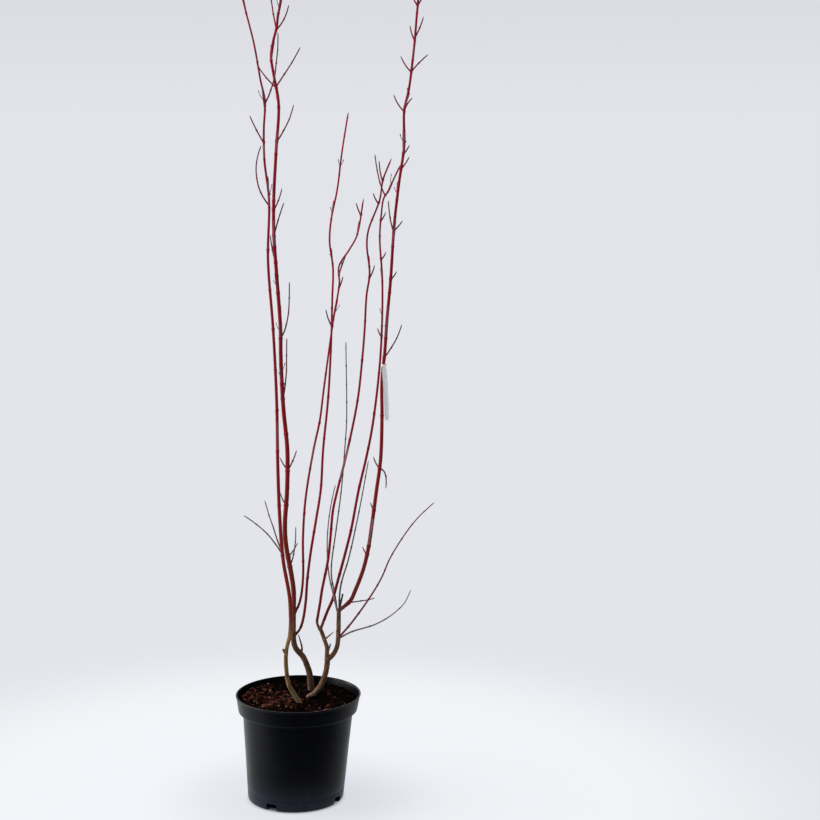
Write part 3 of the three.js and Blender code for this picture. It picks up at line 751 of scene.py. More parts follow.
def old_bark(name, tones, feet, young):
    """Dull fissured bark, bleached near the compost, that turns to the red of young bark near its top."""
    main, deep, pale, dark = tones
    finish = Finish(name, main, 0.75, Specular_IOR_Level=0.15)
    grain = finish.written(GRAIN, "Vector")
    youth = finish.written(YOUTH, "Fac")
    long_streaks = grain.stretched((1, 1, 0.12)).cloudy(640, 5, 0.6)
    patches = grain.stretched((1, 1, 0.4)).cloudy(130, 4, 0.6)
    cracks = long_streaks.between(0.4, 0.56)
    weathered = patches.between(0.4, 0.62).mixes(main, deep)
    scurfy = grain.cloudy(900, 4, 0.7).between(0.55, 0.72)
    weathered = (scurfy * 0.55).mixes(weathered, pale)
    bleached = 1 - (finish.place.axis(2) + 0.03 * (patches - 0.5)).between(0.2, 0.248)
    weathered = (bleached * 0.75).mixes(weathered, feet)
    weathered = ((1 - cracks) * 0.7).mixes(weathered, dark)
    reddened = (youth + 0.35 * (patches - 0.5)).between(0.15, 0.9)
    finish.feed("Base Color", reddened.mixes(weathered, young))
    finish.feed("Roughness", 0.82 - 0.3 * reddened - 0.1 * scurfy)
    finish.relief((1 - reddened * 0.6) * (long_streaks + 0.6 * scurfy), 0.0005)
    return finish


for name, wood in old_wood.items():
    strands = []
    lines = []
    for limb_name, start, end in wood["limbs"]:
        limb = limbs[limb_name]
        end = min(end, limb.length)
        goes_on = limb_name in canes
        s = np.arange(start, end + (PLUG if goes_on else 0), 1.5)
        radii = flared(limb, s) if start < 0 else limb.radius(s) * (1 + SWELLING * np.exp(-s / 6))
        if goes_on:
            radii = radii * np.where(s > end, 0.8, 1)
        strands.append((limb.at(s), radii, 0))
        lines.append((limb.at(s), s))
    for spur_name, swelling in wood["spurs"].items():
        spur = spurs[spur_name]
        s = np.linspace(0, spur.length, 12)
        strands.append((spur.at(s), spur.radius(s) * (1 + swelling * np.exp(-s / 5)), 0))
        lines.append((spur.at(s), s))
    finish = old_bark(name.replace("wood", "bark"), wood["tones"], wood["feet"], wood["young"])
    piece = grown(name, strands, [finish], 6)
    apply_modifier(piece, "REMESH", mode="VOXEL", voxel_size=VOXEL)
    apply_modifier(piece, "SMOOTH", factor=0.6, iterations=5)
    found = write_grain(piece, lines)
    normals = [corner.normal.copy() for corner in piece.data.vertices]
    youth = []
    for corner, normal, (number, s, turn, r) in zip(piece.data.vertices, normals, found):
        around = Vector((r * math.cos(turn), r * math.sin(turn), 0))
        if number < len(wood["limbs"]):
            limb_name, start, end = wood["limbs"][number]
            end = min(end, limbs[limb_name].length)
            goes_on = limb_name in canes
            turning = wood["turning"] if start < 0 else FORK_TURNING
            rising = (s - end + turning) / turning if goes_on else 0.0
            fade = min(max((end - s) / 10, 0), 1) if goes_on else 1
        else:
            rising, fade = 0.0, 1
        seed = Vector((0, 0, 40 * number))
        fissure = noise.fractal(Vector((around.x / 1.3, around.y / 1.3, s / 9)) + seed, 1, 2, 3)
        lump = noise.noise(Vector((around.x / 5, around.y / 5, s / 11)) + seed)
        scar = sum(math.exp(-(((s - at - 0.8 * math.sin(turn + at)) / 0.8) ** 2)) for at in RING_SCARS)
        lobes = 0.8 * math.exp(-max(s + 4, 0) / 9) * math.cos(3 * turn + number) if number == 0 else 0
        rise = wood["fissures"] * (abs(fissure) - 0.25) + wood["lumps"] * lump + 0.22 * scar + lobes
        corner.co += normal * (fade * rise * MM)
        youth.append(min(max(rising, 0), 1))
    write_youth(piece, youth)
    bpy.ops.object.shade_smooth()
    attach(piece, "root")
    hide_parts(*wood["nodes"])

# Twigs, by the plant's own rule
# Side twigs stand in opposite pairs, each pair crosswise to the next. Those that the measurements give come
# first, and the others are grown up each cane at even steps, in the plane that runs from front to back.
# A row is a twig's height, its facing in degrees, how far out and up it goes, its bow and its bulge.
twigs_that_show = {
    "left": [(1166, 184, 13, 110, 0.2, 31), (1280, 172, 26, 50, 0.1), (1352, 12, 26, 126, 0.8)],
    "tall": [
        (790, 4, 9, 118, 1), (908, 8, 18, 108, 1.1), (1052, 176, 10, 53, 0.3), (1103, 8, 20, 64, -0.1),
        (1152, 350, 17, 42, 0.4), (1281, 6, 33, 70, 0.3), (1382, 188, 35, 42, 0.2), (1384, 8, 47, 74, 0.1),
        (1490, 178, 14, 86, 0.1), (1489, 4, 24, 46, 0.5), (1600, 12, 30, 66, 0.3), (1604, 196, 24, 52, 0.3),
    ],
    "inner": [(937, 186, 12, 34, 0.4), (1148, 182, 9, 24, 0.3), (1012, 10, 8, 22, 0.3)],
    "back": [],
    "front": [(1169, 184, 10, 20, 0.4), (1210, 172, 7, 38, 0.6), (1032, 2, 10, 24, 0.4)],
    "middle": [
        (903, 182, 8, 18, 0.4), (1053, 6, 10, 16, 0.4), (1128, 4, 10, 18, 0.4), (1177, 178, 20, 80, 0.5),
    ],
    "right": [
        (872, 6, 34, 64, 0.3), (1022, 8, 12, 16, 0.3), (1112, 180, 10, 60, 0.5), (1114, 4, 17, 20, 0.2),
        (1230, 8, 16, 24, 0.2), (1258, 10, 12, 18, 0.3), (1338, 176, 20, 32, 0.4), (1340, 6, 16, 24, -0.3),
        (1411, 184, 20, 30, 0.3), (1412, 8, 32, 32, -0.1), (1470, 176, 9, 28, 0.5), (1476, 6, 16, 38, 0.3),
        (1534, 182, 18, 44, 0.4), (1535, 4, 22, 48, 0.3), (1606, 172, 18, 40, 0.3),
    ],
}
sprays = {
    "left": {
        "left_low": (492, 186, 74, 80, -0.35), "left_upright": (496, 178, 33, 104, 0.1),
        "left_front": (700, 274, 30, 62, 0.3),
    },
    "tall": {
        "tall_low": (458, 350, 13, 80, 0.8), "tall_short": (477, 26, 22, 27, 0.2),
        "tall_left": (581, 184, 12, 27, 0.4), "tall_back": (655, 94, 32, 56, 0.3),
        "tall_pair_left": (650, 190, 15, 26, 0.2), "tall_pair_right": (649, 8, 18, 40, 0.3),
    },
    "inner": {"inner_front": (660, 273, 28, 58, 0.3)},
    "back": {"back_outer": (700, 93, 34, 70, 0.3)},
    "front": {"front_outer": (640, 272, 34, 74, 0.3)},
    "middle": {"middle_outer": (610, 91, 36, 66, 0.3)},
    "right": {
        "right_low": (385, 4, 52, 9, 0.6), "right_spur_low": (482, 184, 9, 17, 0.3),
        "right_spur": (572, 184, 7, 16, 0.3), "right_front": (500, 271, 30, 64, 0.3),
        "right_pair_left": (655, 186, 12, 24, 0.4), "right_pair_right": (655, 4, 12, -40, 1.5),
        "right_back": (760, 91, 32, 60, 0.3),
    },
}
INTERNODE = 88
FACINGS = (93, 273)
SPREAD = 5  # how far a facing may turn, in degrees
OUT = (20, 44)
UP = (26, 74)
MISSING = 0.22
SPACE = 95  # farthest that a twig may reach from its own cane
ROOM = 4  # least gap between it and any other limb
TWIG_ROOT = 1.35
TWIG_TIP = 0.8
SEED = 41


def draws(seed):
    """A repeatable stream of numbers from 0 to 1."""
    state = seed
    while True:
        state = state * 16807 % 2147483647
        yield state / 2147483647


def twig_line(limb, row, steps=4):
    """A side twig as a bowed line from the middle of its limb to its tip. One that faces the front or the
    back leans to the side as its limb does there."""
    height, turn, out, up, bow = row[:5]
    bulge = row[5] if len(row) > 5 else 0
    root = limb.at(limb.reaching(height))
    side = np.array([math.cos(math.radians(turn)), math.sin(math.radians(turn)), 0])
    lean = np.array([(limb.at(limb.reaching(height + up))[0] - root[0]) * side[1] ** 2, 0, 0])
    knee_up = 0.5 - 0.3 * bow
    knee = root + side * (out * (0.5 + 0.5 * bow) + bulge) + lean * knee_up + [0, 0, up * knee_up]
    tip = root + side * out + lean + [0, 0, up]
    t = np.linspace(0, 1, steps + 1)[:, None]
    return (1 - t) ** 2 * root + 2 * t * (1 - t) * knee + t * t * tip


taken = []
for name, limb in limbs.items():
    marks = math.ceil(limb.length / (2 * ROOM))
    taken += [(name, p, limb.foot) for p in limb.at(limb.length * np.arange(marks + 1) / marks)]
for name, rows in twigs_that_show.items():
    taken += [(name, p, TWIG_ROOT) for row in rows for p in twig_line(limbs[name], row)]


def is_free(owner, line):
    """Whether a line stays clear of every other limb and twig."""
    others = [(p, thickness) for name, p, thickness in taken if name != owner]
    places = np.array([p for p, _ in others])
    needs = np.array([thickness for _, thickness in others]) + ROOM
    return all((np.linalg.norm(places - p, axis=1) > needs).all() for p in line)


twigs_by_rule = {}
for order, name in enumerate(canes):
    limb = limbs[name]
    draw = draws(SEED + order)
    rows = []
    s = limb.crown + INTERNODE / 2
    while s < limb.length - INTERNODE / 2:
        fade = 1 - 0.5 * (s / limb.length) ** 2
        for facing in FACINGS:
            turn = facing + SPREAD * (2 * next(draw) - 1)
            out = (OUT[0] + (OUT[1] - OUT[0]) * next(draw)) * fade
            up = (UP[0] + (UP[1] - UP[0]) * next(draw)) * fade
            row = (limb.at(s)[2], turn, out, up, 0.1 + 0.4 * next(draw))
            present = next(draw) > MISSING
            line = twig_line(limb, row)
            near = all(np.linalg.norm(p - limb.at(limb.reaching(p[2]))) < SPACE for p in line)
            if present and near and is_free(name, line):
                rows.append(row)
        s += INTERNODE
    taken += [(name, p, TWIG_ROOT) for row in rows for p in twig_line(limb, row)]
    twigs_by_rule[name] = rows

# Canes
# One smooth stem each, from the old wood to its tip. The bark is thin and glossy, deep red with a darker
# bloom, and at each node a pair of leaf scars meets in a raised ring. The pairs turn a quarter from one node
# to the next.
NODE_STEP = 84
SHARED = 9  # twigs closer together than this along a cane share a node
CANE_BUD = 8  # length of the bud that ends a cane
SKIN = 0.33  # bark over the measured thickness, which is the wood's
THIN = 3  # a cane with a smaller radius at its foot keeps more of its skin up to its tip
RING_STEP = 2.6
NODE_RINGS = np.array([-4.5, -3, -2, -1.2, -0.6, 0, 0.5, 1, 1.8, 3, 4.5])
TIP_RINGS = np.array([1.3, 0.7, 0.25, 0])
TIP_CLOSES = (0.95, 0.8, 0.5, 0.12)

cane_tones = {
    "left": ("7a2c1e", "881a1e", "8e1528", "981a36"),
    "tall": ("6e2a1e", "86181e", "901528", "a01a35"),
    "inner": ("6c1c1c", "8c1624", "94172c", "941c3a"),
    "back": ("6a1a1a", "8e1624", "94182e", "a81c42"),
    "front": ("74201c", "8c1624", "8c162a", "861c36"),
    "middle": ("6c1e1a", "8a1622", "901529", "901c38"),
    "right": ("74281e", "861a1c", "8e1526", "a01c38"),
}


def cane_bark(name, tones):
    """Thin red bark: one tone runs into the next up the cane, under a faint bloom and fine darker streaks."""
    low, middle, high, tip = tones
    finish = Finish(name, middle, 0.42, Specular_IOR_Level=0.08)
    grain = finish.written(GRAIN, "Vector")
    youth = finish.written(YOUTH, "Fac")
    clouds = grain.stretched((1, 1, 0.25)).cloudy(55, 4, 0.6)
    climbing = youth + 0.16 * (clouds - 0.5)
    stops = [(0.0, low), (0.22, middle), (0.68, high), (1.0, tip)]
    bark = climbing.node("ShaderNodeValToRGB", {"stops": stops}, {"Fac": climbing})
    streaks = grain.stretched((1, 1, 0.07)).cloudy(900, 4, 0.6)
    dark = tuple(0.45 * part for part in colour(middle)[:3]) + (1,)
    bark = (streaks.between(0.5, 0.72) * 0.4).mixes(bark, dark)
    bloom = grain.stretched((1, 1, 0.5)).cloudy(260, 5, 0.65).between(0.56, 0.78)
    finish.feed("Base Color", (bloom * 0.11).mixes(bark, "8e5654"))
    finish.feed("Roughness", 0.36 + 0.18 * streaks + 0.2 * bloom)
    finish.relief(streaks + 0.5 * bloom, 0.00018)
    return finish


def swell(off, width):
    """1 in the middle of a swelling, and next to nothing two widths from it."""
    return np.exp(-((off / width) ** 2))


# nodes that carry twigs, and bare ones that fill the lengths between them
cane_nodes = {}
cane_start = {}
for name in canes:
    limb = limbs[name]
    start = limb.trunk_length or FORK_REACH
    cane_start[name] = start
    rows = twigs_that_show[name] + twigs_by_rule[name] + list(sprays[name].values())
    nodes = []
    for row in sorted(rows):
        s = limb.reaching(row[0])
        if nodes and s - nodes[-1]["s"] < SHARED:
            nodes[-1]["twigs"].append(row[1] % 360)
        else:
            nodes.append({"s": s, "turn": row[1] % 360, "twigs": [row[1] % 360]})
    filled = []
    before = start + 6
    for node in nodes + [{"s": limb.length + 30, "turn": 0, "twigs": []}]:
        gap = node["s"] - before
        between = max(round(gap / NODE_STEP) - 1, 0)
        for k in range(between):
            s = before + gap * (k + 1) / (between + 1) + 9 * (luck.random() - 0.5)
            crosswise = (node["turn"] + 90 * (between - k)) % 180
            if s < limb.length - 12:
                filled.append({"s": s, "turn": crosswise + 8 * luck.normal(), "twigs": []})
        if node["twigs"]:
            filled.append(node)
        before = node["s"]
    cane_nodes[name] = filled

for name, nodes in cane_nodes.items():
    limb = limbs[name]
    start = cane_start[name]
    stem_end = limb.length - CANE_BUD + 0.6
    rings = np.arange(start, stem_end - 1.4, RING_STEP)
    for node in nodes:
        rings = rings[abs(rings - node["s"]) > NODE_RINGS[-1]]
        rings = np.r_[rings, node["s"] + NODE_RINGS]
    rings = np.sort(rings[(rings > start + 1) & (rings < stem_end - 1.5)])
    rings = np.r_[start - 0.5, start + 0.1, start + 0.8, rings, stem_end - TIP_RINGS]
    thinning = 0.5 if limb.foot < THIN else 1.25
    radii = limb.radius(np.clip(rings, 0, None)) + SKIN * (1 - thinning * rings / limb.length)
    radii = radii * (1 + 0.025 * np.array([noise.noise(Vector((s / 23, 7 * len(name), 0))) for s in rings]))
    radii = radii + 0.16 * swell(rings - start - 0.4, 0.9)
    for node in nodes:
        off = rings - node["s"]
        size = radii[np.argmin(abs(off))]
        radii = radii + size * (0.17 * swell(off, 0.8) + 0.1 * swell(off + 1, 3))
    radii[0] *= 0.8
    radii[-len(TIP_CLOSES):] *= TIP_CLOSES
    bark = cane_bark("bark_" + name, cane_tones[name])
    piece = grown("cane_" + name, [(limb.at(rings), radii, 0)], [bark], 5)
    core = np.arange(start - 1, limb.length, 2)
    found = write_grain(piece, [(limb.at(core), core)])
    write_youth(piece, [(s - start) / (limb.length - start) for _, s, _, _ in found])
    bpy.ops.object.shade_smooth()
    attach(piece, "root")
    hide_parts("bough_" + name, "twigs_" + name)

# Lenticels
# Small corky pores that stand a tenth of a millimetre proud of the red bark, pale tan and longer than wide.
# They are closest together low on a cane and thin out towards its tip.
PORE_PROUD = 0.13
PORE_DEPTH = 0.4
pores = []
for name in canes:
    limb = limbs[name]
    s = cane_start[name] + 4
    while s < 0.9 * limb.length:
        along = Vector(limb.along(s))
        across = along.orthogonal().normalized()
        out = Matrix.Rotation(2 * math.pi * luck.random(), 3, along) @ across
        round_it = along.cross(out)
        place = Vector(limb.at(s)) + out * (float(limb.radius(s)) + SKIN * (1 - s / limb.length) + 0.04)
        length, width = luck.uniform(0.3, 0.6), luck.uniform(0.15, 0.25)
        ends = (along * length, round_it * width, -along * length, -round_it * width, out * PORE_PROUD,
                -out * PORE_DEPTH)
        pores.append(([(place + end) * MM for end in ends], DIAMOND, 0))
        s += luck.uniform(2, 8) * (1 + 2.2 * s / limb.length)
cork = Finish("pale_cork", "8c5348", 0.8)
cork.feed("Roughness", 0.7 + 0.25 * cork.place.cloudy(2500, 2))
lenticels = scatter("lenticels", pores, [cork])
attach(lenticels, "root")
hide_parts(*["bough_" + name for name in canes])

# Side twigs
# One-year twigs, each from the axil of a fallen leaf: a collar at the root, a slight change of direction at
# each node, and now and then a finer twig. Their bark is dull red high up and purplish grey low down.
TWIG_NODE_STEP = 27
TWIG_SKIN = 0.15
TIP_SKIN = 0.3
TWIG_RINGS = np.array([-2, -1, -0.4, 0, 0.4, 1.2, 2.2])  # about a node
BUD_LOST = 0.06
BUD_WIDTH = 0.36  # share of its length
END_BUD_WIDTH = 0.44
TWIGLET_CHANCE = 0.75
TWIGLET_ROOT = 0.7
TWIGLET_TIP = 0.5
REDDER_ABOVE = 1130
GREYER_BELOW = 640

twig_tones = ["863040", "6e424c", "78384a", "66484e", "74595e", "86727a"]
twig_finishes = toned_finishes("twig_bark", twig_tones, (0.5, 0.1), (900, 4, 0.6), (0.38, 0.25), 0.0002)


def twig_tone(height):
    """The tones of a twig's lower and upper half, by the height of its root."""
    if height > REDDER_ABOVE:
        return 0, 1
    return (2, 3) if height > GREYER_BELOW else (4, 5)


twig_strands = []
bud_places = []  # root, direction, length and width of every bud


def add_buds(place, along, out, radius, length):
    """A pair of buds pressed against the bark, on two sides of a node."""
    for side in (out, -out):
        if luck.random() < BUD_LOST:
            continue
        lean = unit(along + side * luck.uniform(0.16, 0.32))
        root = place + side * radius * 0.86
        bud_places.append((root, lean, length * luck.uniform(0.8, 1.2), BUD_WIDTH * luck.uniform(0.85, 1.15)))


def add_twig(line, root, tip, tones, finer=False):
    """One twig along a line, with its nodes, buds and finer twigs."""
    steps = np.linalg.norm(np.diff(line, axis=0), axis=1)
    distances = np.r_[0, np.cumsum(steps)]
    length = distances[-1]

    def point_at(s):
        return np.array([np.interp(s, distances, line[:, axis]) for axis in range(3)]).T

    count = max(round(length / TWIG_NODE_STEP), 1)
    node_places = [length * (k + 1) / (count + 0.25) for k in range(count)]
    node_places = [s for s in node_places if s < length - 8]
    s = np.r_[0, 1, 2.2, np.arange(4, length - 1.5, 3.2)]
    for at in node_places:
        s = s[abs(s - at) > 2.4]
        s = np.r_[s, at + TWIG_RINGS]
    bud = luck.uniform(3.6, 5)
    s = np.sort(np.r_[s[s < length - bud], length - bud + 0.2, length - bud + 0.7])
    axis = unit(line[-1] - line[0])
    sideways = unit(np.cross(axis, [0.3, 0.9, 0.1]))
    knees = np.r_[0, node_places, length]
    swing = np.r_[0, [0.35 * (-1) ** k * luck.uniform(0.5, 1.5) for k in range(len(node_places))], 0]
    points = point_at(s) + np.interp(s, knees, swing)[:, None] * sideways
    radii = root + (tip - root) * s / length
    radii = radii * (1 + 0.7 * np.exp(-s / 2.2))
    for at in node_places:
        radii = radii * (1 + 0.28 * swell(s - at, 0.9))
    radii[-2:] *= (0.9, 0.4)
    switch = int(np.searchsorted(s, 0.55 * length))
    twig_strands.append((points[: switch + 1], radii[: switch + 1], tones[0]))
    twig_strands.append((points[switch:], radii[switch:], tones[1]))
    facing = np.cross(axis, sideways)
    for k, at in enumerate(node_places):
        place = point_at(at) + swing[k + 1] * sideways
        out = facing if k % 2 else sideways
        here = root + (tip - root) * at / length
        if finer and length > 40 and k % 2 == 0 and luck.random() < TWIGLET_CHANCE:
            side = out * (1 if luck.random() < 0.5 else -1)
            reach = luck.uniform(9, 20)
            t = np.linspace(0, 1, 6)[:, None]
            twiglet = place + side * reach * 0.55 * (t - 0.25 * t * t)
            twiglet = twiglet + axis * reach * (0.5 * t + 0.5 * t * t)
            add_twig(twiglet, TWIGLET_ROOT, TWIGLET_TIP, (tones[1], tones[1] + 1))
            bud_places.append((place - side * here * 0.8, axis, 2.2, BUD_WIDTH))
        else:
            add_buds(place, axis, out, here, luck.uniform(2.4, 3.4))
    ending = unit(line[-1] - line[-2])
    bud_places.append((line[-1] - bud * ending, ending, bud, END_BUD_WIDTH))


for name in canes:
    seen = twigs_that_show[name] + list(sprays[name].values())
    for k, row in enumerate(seen + twigs_by_rule[name]):
        line = twig_line(limbs[name], row, 12)
        add_twig(line, TWIG_ROOT + TWIG_SKIN, TWIG_TIP + TIP_SKIN, twig_tone(row[0]), k >= len(seen))
side_twigs = grown("side_twigs", twig_strands, twig_finishes, 2)
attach(side_twigs, "root")
spray_nodes = ["spray_" + name for rows in sprays.values() for name in rows]
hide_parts(*["twigs_" + name for name in canes], *spray_nodes)

# Thin shoots
# Long shoots from the fork of the old stump, no thicker than a straw. Most are dull purplish grey, one is
# redder, and one was cut off short and has gone nearly black. Each has its tone, its radii and its bends.
shoots = {
    "shoot_thin_left": (2, (1.5, 0.85), [
        (78, 33, 358), (71, 25, 393), (60, 12, 455), (59, 1, 525), (66, -11, 585), (76, -20, 632),
    ]),
    "shoot_thin_tall": (1, (1.5, 0.9), [
        (78, 34, 352), (71, 50, 395), (64.5, 53, 430), (64, 58, 455), (73, 72, 522), (83, 86, 598),
        (91, 95, 690), (94, 99, 738), (93, 110, 893),
    ]),
    "shoot_cut": (3, (2, 1.7), [(79, 34, 366), (81.5, 35, 378), (87, 36, 402)]),
    "shoot_middle": (1, (1.7, 0.9), [
        (79, 34, 354), (82, 53, 412), (98, 77, 466), (119, 108, 560), (136, 140, 650),
    ]),
    "shoot_red": (0, (2, 0.8), [
        (78, 30, 314), (107, 17, 352), (143, 7, 406), (164, -4, 445), (181, -11, 486), (213, -21, 540),
        (236, -26, 570), (266, -32, 600),
    ]),
    "shoot_grey": (2, (1.8, 0.8), [
        (78, 33, 312), (102, 49, 321), (147, 65, 331), (174, 78, 342), (194, 88, 355), (208, 96, 368),
        (221, 109, 392),
    ]),
}
SHOOT_BUD = 4.6
SHOOT_NODE_STEP = 36
shoot_tones = ["722838", "605a5b", "867779", "2a201f"]
shoot_finishes = toned_finishes("shoot_bark", shoot_tones, (0.55, 0.1), (800, 4, 0.6), (0.45, 0.25), 0.0003)
shoot_strands = []
for name, (tone, radii, bends) in shoots.items():
    limb = Limb(bends, radii)
    end = limb.length if name == "shoot_cut" else limb.length - SHOOT_BUD + 0.5
    s = np.r_[0, 1, 2, np.arange(4, end - 2, 3), end - 0.6, end]
    thickness = (limb.radius(s) + TWIG_SKIN) * np.interp(s, (0, 8), (0.7, 1))
    side = np.array([0.0, 1, 0])
    if name == "shoot_cut":
        thickness[-1] *= 0.92
    else:
        thickness[-1] *= 0.5
        for k, at in enumerate(np.arange(34, limb.length - 10, SHOOT_NODE_STEP)):
            along = limb.along(at)
            thickness = thickness * (1 + 0.3 * swell(s - at, 1.6))
            out = unit(np.cross(along, side if k % 2 else np.cross(along, side)))
            add_buds(limb.at(at), along, out, float(limb.radius(at)), 2.8)
        bud_places.append((limb.at(limb.length - SHOOT_BUD), limb.along(limb.length), SHOOT_BUD, 0.3))
    shoot_strands.append((limb.at(s), thickness, tone))
thin_shoots = grown("thin_shoots", shoot_strands, shoot_finishes, 2)
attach(thin_shoots, "root")
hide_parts(*shoots)

# Buds
# Slender pointed winter buds of two closed scales: a pair at every node, pressed to the bark, and a longer
# one at the end of each twig. They are dark purplish brown, some of them redder. No bud stands where a twig
# does.
SAME_SIDE = 60  # a bud and a twig nearer than this round a cane, in degrees, would share a place
BARE_BELOW = 0.3  # on this much of a cane many buds have been lost
BARE_SHARE = 0.45
BUD_SHAPE = [(-0.12, 0.75), (0.1, 1), (0.34, 0.98), (0.6, 0.74), (0.82, 0.4)]  # place and width of its rings
BUD_SIDES = 8
for name, nodes in cane_nodes.items():
    limb = limbs[name]
    for node in nodes:
        along = limb.along(node["s"])
        for turn in (node["turn"], node["turn"] + 180):
            if any(abs((turn - twig + 180) % 360 - 180) < SAME_SIDE for twig in node["twigs"]):
                continue
            high = node["s"] / limb.length
            if not node["twigs"] and high < BARE_BELOW and luck.random() < BARE_SHARE:
                continue
            flat = np.array([math.cos(math.radians(turn)), math.sin(math.radians(turn)), 0])
            out = unit(flat - along * flat.dot(along))
            lean = unit(along + out * luck.uniform(0.1, 0.24))
            root = limb.at(node["s"]) + out * float(limb.radius(node["s"])) * 0.9
            bud_places.append((root, lean, luck.uniform(3.4, 5.4), luck.uniform(0.27, 0.34)))
    root, width = limb.at(limb.length - CANE_BUD), 1.7 * limb.tip / CANE_BUD
    bud_places.append((root, limb.along(limb.length), CANE_BUD, width))

buds = []
for root, along, length, width in bud_places:
    along = Vector(along)
    across = along.orthogonal().normalized()
    over = along.cross(across)
    points = []
    for step, girth in BUD_SHAPE:
        for k in range(BUD_SIDES):
            turn = 2 * math.pi * k / BUD_SIDES
            seam = 0.9 if k % 4 == 0 else 1.03
            half = length * width / 2 * girth * seam
            away = across * math.cos(turn) * 0.86 + over * math.sin(turn)
            points.append(Vector(root) + along * length * step + away * half)
    points.append(Vector(root) + along * length)
    top = len(BUD_SHAPE) * BUD_SIDES
    faces = [list(range(BUD_SIDES))[::-1]]
    for ring in range(len(BUD_SHAPE) - 1):
        for k in range(BUD_SIDES):
            a, b = ring * BUD_SIDES + k, ring * BUD_SIDES + (k + 1) % BUD_SIDES
            faces.append([a, b, b + BUD_SIDES, a + BUD_SIDES])
    faces += [[top - BUD_SIDES + k, top - BUD_SIDES + (k + 1) % BUD_SIDES, top] for k in range(BUD_SIDES)]
    buds.append(([p * MM for p in points], faces, int(luck.integers(0, 3))))
bud_tones = ["6e2836", "6c3c46", "543039"]
bud_finishes = toned_finishes("bud_scale", bud_tones, (0.6, 0.1), (1600, 3), (0.5, 0.3), 0.0002)
winter_buds = scatter("winter_buds", buds, bud_finishes)
bpy.ops.object.select_all(action="DESELECT")
bpy.context.view_layer.objects.active = winter_buds
winter_buds.select_set(True)
bpy.ops.object.shade_smooth_by_angle(angle=math.radians(50))
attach(winter_buds, "root")
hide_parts(*["twigs_" + name for name in canes])

# Plant tag
# A blank strip of thin white plastic, cut in one piece with the narrow loop that goes round the right cane.
# The strip hangs nearly straight down in front of the cane, and bends a little with its own weight.
TAG_HEIGHT = 858
TAG_LENGTH = 108
TAG_WIDTH = 9
TAG_THICK = 0.7
LOOP_RADIUS = 4.6
LOOP_WIDTH = 3.6
NECK = 13  # length over which the strip widens from the loop

limb = limbs["right"]
tag_s = limb.reaching(TAG_HEIGHT)
stem = limb.at(tag_s)
loop_middle = stem + [LOOP_RADIUS - float(limb.radius(tag_s)) - 0.3, 0, 0]
bpy.ops.object.select_all(action="DESELECT")
bpy.ops.mesh.primitive_cube_add(size=1, location=(0, 0, 0))
tag = bpy.context.object
tag.name = "plant_tag"
tag.scale = (TAG_WIDTH * MM, TAG_THICK * MM, TAG_LENGTH * MM)
bpy.ops.object.transform_apply(location=True, rotation=True, scale=True)
bpy.ops.object.mode_set(mode="EDIT")
bpy.ops.mesh.select_all(action="SELECT")
bpy.ops.mesh.subdivide(number_cuts=15)
bpy.ops.object.mode_set(mode="OBJECT")
for corner in tag.data.vertices:
    x, y, z = corner.co / MM
    down = 0.5 - z / TAG_LENGTH  # 0 at the top, 1 at the bottom
    narrow = 1 - 0.62 * max(1 - down * TAG_LENGTH / NECK, 0) ** 1.4 - 0.2 * max((down - 0.97) / 0.03, 0) ** 2
    bowed = 2.6 * math.sin(math.pi * down) * 0.5 + 0.9 * (x / TAG_WIDTH * 2) ** 2 * down
    side = 5.6 * down + 0.8 * math.sin(3 * down)
    front = -LOOP_RADIUS - TAG_THICK / 2 - bowed
    corner.co = Vector(loop_middle + [x * narrow + side, y + front, z + 1.8 - TAG_LENGTH / 2]) * MM
apply_modifier(tag, "BEVEL", width=0.0002, segments=2, limit_method="ANGLE", angle_limit=math.radians(50))
bpy.ops.object.select_all(action="DESELECT")
bpy.ops.mesh.primitive_cylinder_add(vertices=48, radius=(LOOP_RADIUS + TAG_THICK / 2) * MM,
                                    depth=LOOP_WIDTH * MM, end_fill_type="NOTHING",
                                    location=tuple(loop_middle * MM))
loop = bpy.context.object
bpy.ops.object.transform_apply(location=True, rotation=True, scale=True)
apply_modifier(loop, "SOLIDIFY", thickness=TAG_THICK * MM, offset=0)
tag.select_set(True)
bpy.context.view_layer.objects.active = tag
bpy.ops.object.join()
white_plastic = Finish("white_plastic", "f0f0ee", 0.38)
milky = white_plastic.place.cloudy(220, 3)
white_plastic.feed("Base Color", milky.between(0.3, 0.7).mixes("e2e3e3", "f6f6f4"))
white_plastic.feed("Roughness", 0.32 + 0.2 * milky)
white_plastic.relief(white_plastic.place.cloudy(140, 2), 0.0006, 0.5)
wear(tag, white_plastic)
bpy.ops.object.shade_smooth_by_angle(angle=math.radians(35))
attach(tag, "root")
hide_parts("tag")

# Floor, light and camera
# A near-white floor that runs off into a pale wall tone and partly glows, with painted shade near the pot and
# a painted contact shadow round its foot, under soft light that comes mostly from the left and from above.
# The room is darker to the right, and dark behind the camera. The camera stands 3.5 m away, higher than the
# plant's middle, and looks slightly down.
FLOOR_RADIUS = 14
FLOOR_DROP = 0.0004  # the floor lies this little under the pot, so that the two share no plane
PLANT_MIDDLE = Vector((0.05, 0, 0.7))
bpy.ops.object.select_all(action="DESELECT")
under_pot = (0, 0, -FLOOR_DROP)
bpy.ops.mesh.primitive_circle_add(vertices=96, radius=FLOOR_RADIUS, fill_type="NGON", location=under_pot)
floor = bpy.context.object
floor.name = "studio_floor"
matt = Finish("matt_floor", "eceef2", 0.8, Specular_IOR_Level=0.1)
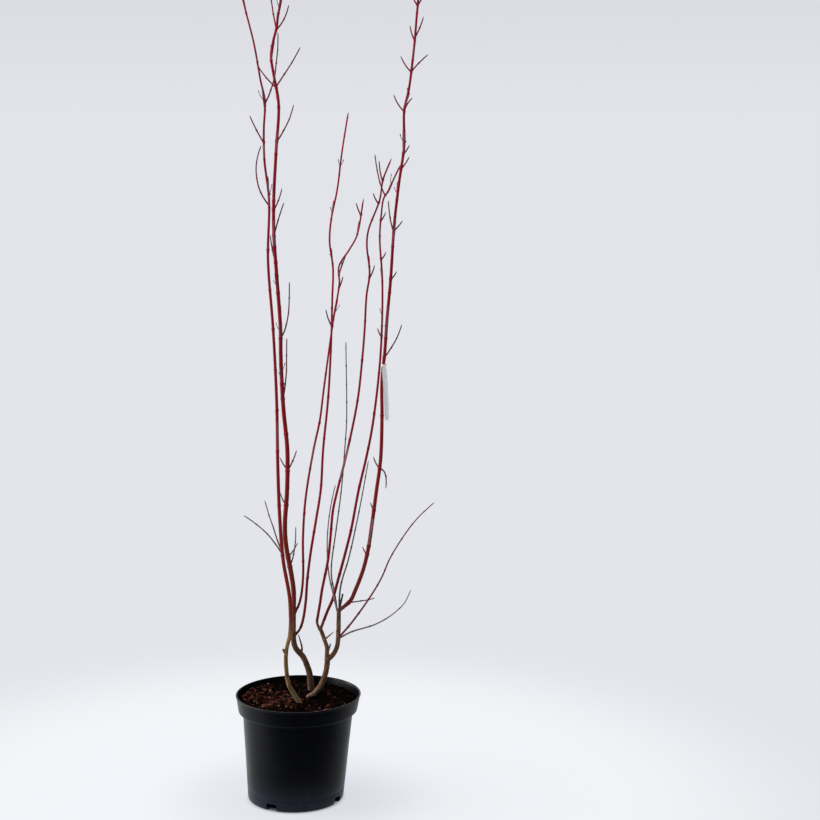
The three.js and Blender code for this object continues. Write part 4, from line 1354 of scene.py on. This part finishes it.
# the floor is dark just in front of the plant, which only its reflection in the pot shows
across, ahead = matt.place.axis(0), matt.place.axis(1)
floor_end = 1 - (ahead - 0.25 * across).between(-0.32, -0.02) * (1 - 0.5 * across.between(0, 0.35))
mirrored = matt.place.node("ShaderNodeLightPath", {}, {}, "Is Glossy Ray") * floor_end
matt.feed("Base Color", mirrored.mixes("eceef2", "4c4e54"))
away = matt.place.node("ShaderNodeVectorMath", {"operation": "LENGTH"}, {0: matt.place}, "Value")
# the floor partly glows, and its glow holds painted shade: a darker tone close to the pot, and a narrow
# painted contact shadow round the pot's foot
near_painted_shade = away.between(0.12, 0.32).mixes("e4e7ed", "f2f4f8")
far_tone = away.between(0.6, 1.15).mixes(near_painted_shade, "e3e5ea")
painted_contact_shadow = away.between(0.08, 0.101).mixes("3c3f46", far_tone)
floor_glow = away.node("ShaderNodeEmission", {}, {"Color": mirrored.mixes(painted_contact_shadow, "5c606c"), "Strength": 1})
plain = Wire(matt.tree, matt.shader.outputs[0])
blended = away.node("ShaderNodeMixShader", {}, {0: 0.84 + 0.16 * away.between(0.15, 0.9), 1: plain, 2: floor_glow})
matt.tree.links.new(blended.socket, matt.tree.nodes["Material Output"].inputs["Surface"])
wear(floor, matt)

world = bpy.data.worlds.new("studio")
bpy.context.scene.world = world
world.use_nodes = True
tree = world.node_tree
sky = Wire(tree, tree.nodes.new("ShaderNodeTexCoord").outputs["Generated"])
to_right, to_back, up = [sky.axis(number) for number in range(3)]
behind_camera = 1 - (to_back - 0.2 * to_right + 0.5 * up).between(-0.75, -0.05)
room = (to_right.between(-0.1, 0.8) * 0.8).mixes("f4f6fa", "696c71")
room = behind_camera.mixes(room, "2c2f36")
wall_tone = up.between(0, 0.07).mixes("e2e4e9", "dcdde3")
seen = sky.node("ShaderNodeLightPath", {}, {}, "Is Camera Ray")
tree.links.new(seen.mixes(room, wall_tone).socket, tree.nodes["Background"].inputs["Color"])
tree.nodes["Background"].inputs["Strength"].default_value = 1

lamps = {"window_left": ((-2.9, 0.2, 1.5), 3, 118), "fill_right": ((2.6, -0.6, 2.6), 3.2, 7)}
for name, (place, size, power) in lamps.items():
    lamp = bpy.data.lights.new(name, "AREA")
    lamp.size = size
    lamp.energy = power
    light = bpy.data.objects.new(name, lamp)
    light.location = place
    light.visible_camera = False
    light.rotation_euler = (PLANT_MIDDLE - Vector(place)).to_track_quat("-Z", "Y").to_euler()
    bpy.context.collection.objects.link(light)

camera = bpy.data.objects.new("camera", bpy.data.cameras.new("camera"))
camera.location = (0.226, -3.484, 1.310)
camera.rotation_euler = (math.radians(81.24), 0, 0)
camera.data.lens = 80.8
camera.data.sensor_width = 36
bpy.context.collection.objects.link(camera)
bpy.context.scene.camera = camera
bpy.context.scene.view_settings.view_transform = "Standard"
bpy.context.scene.view_settings.look = "None"
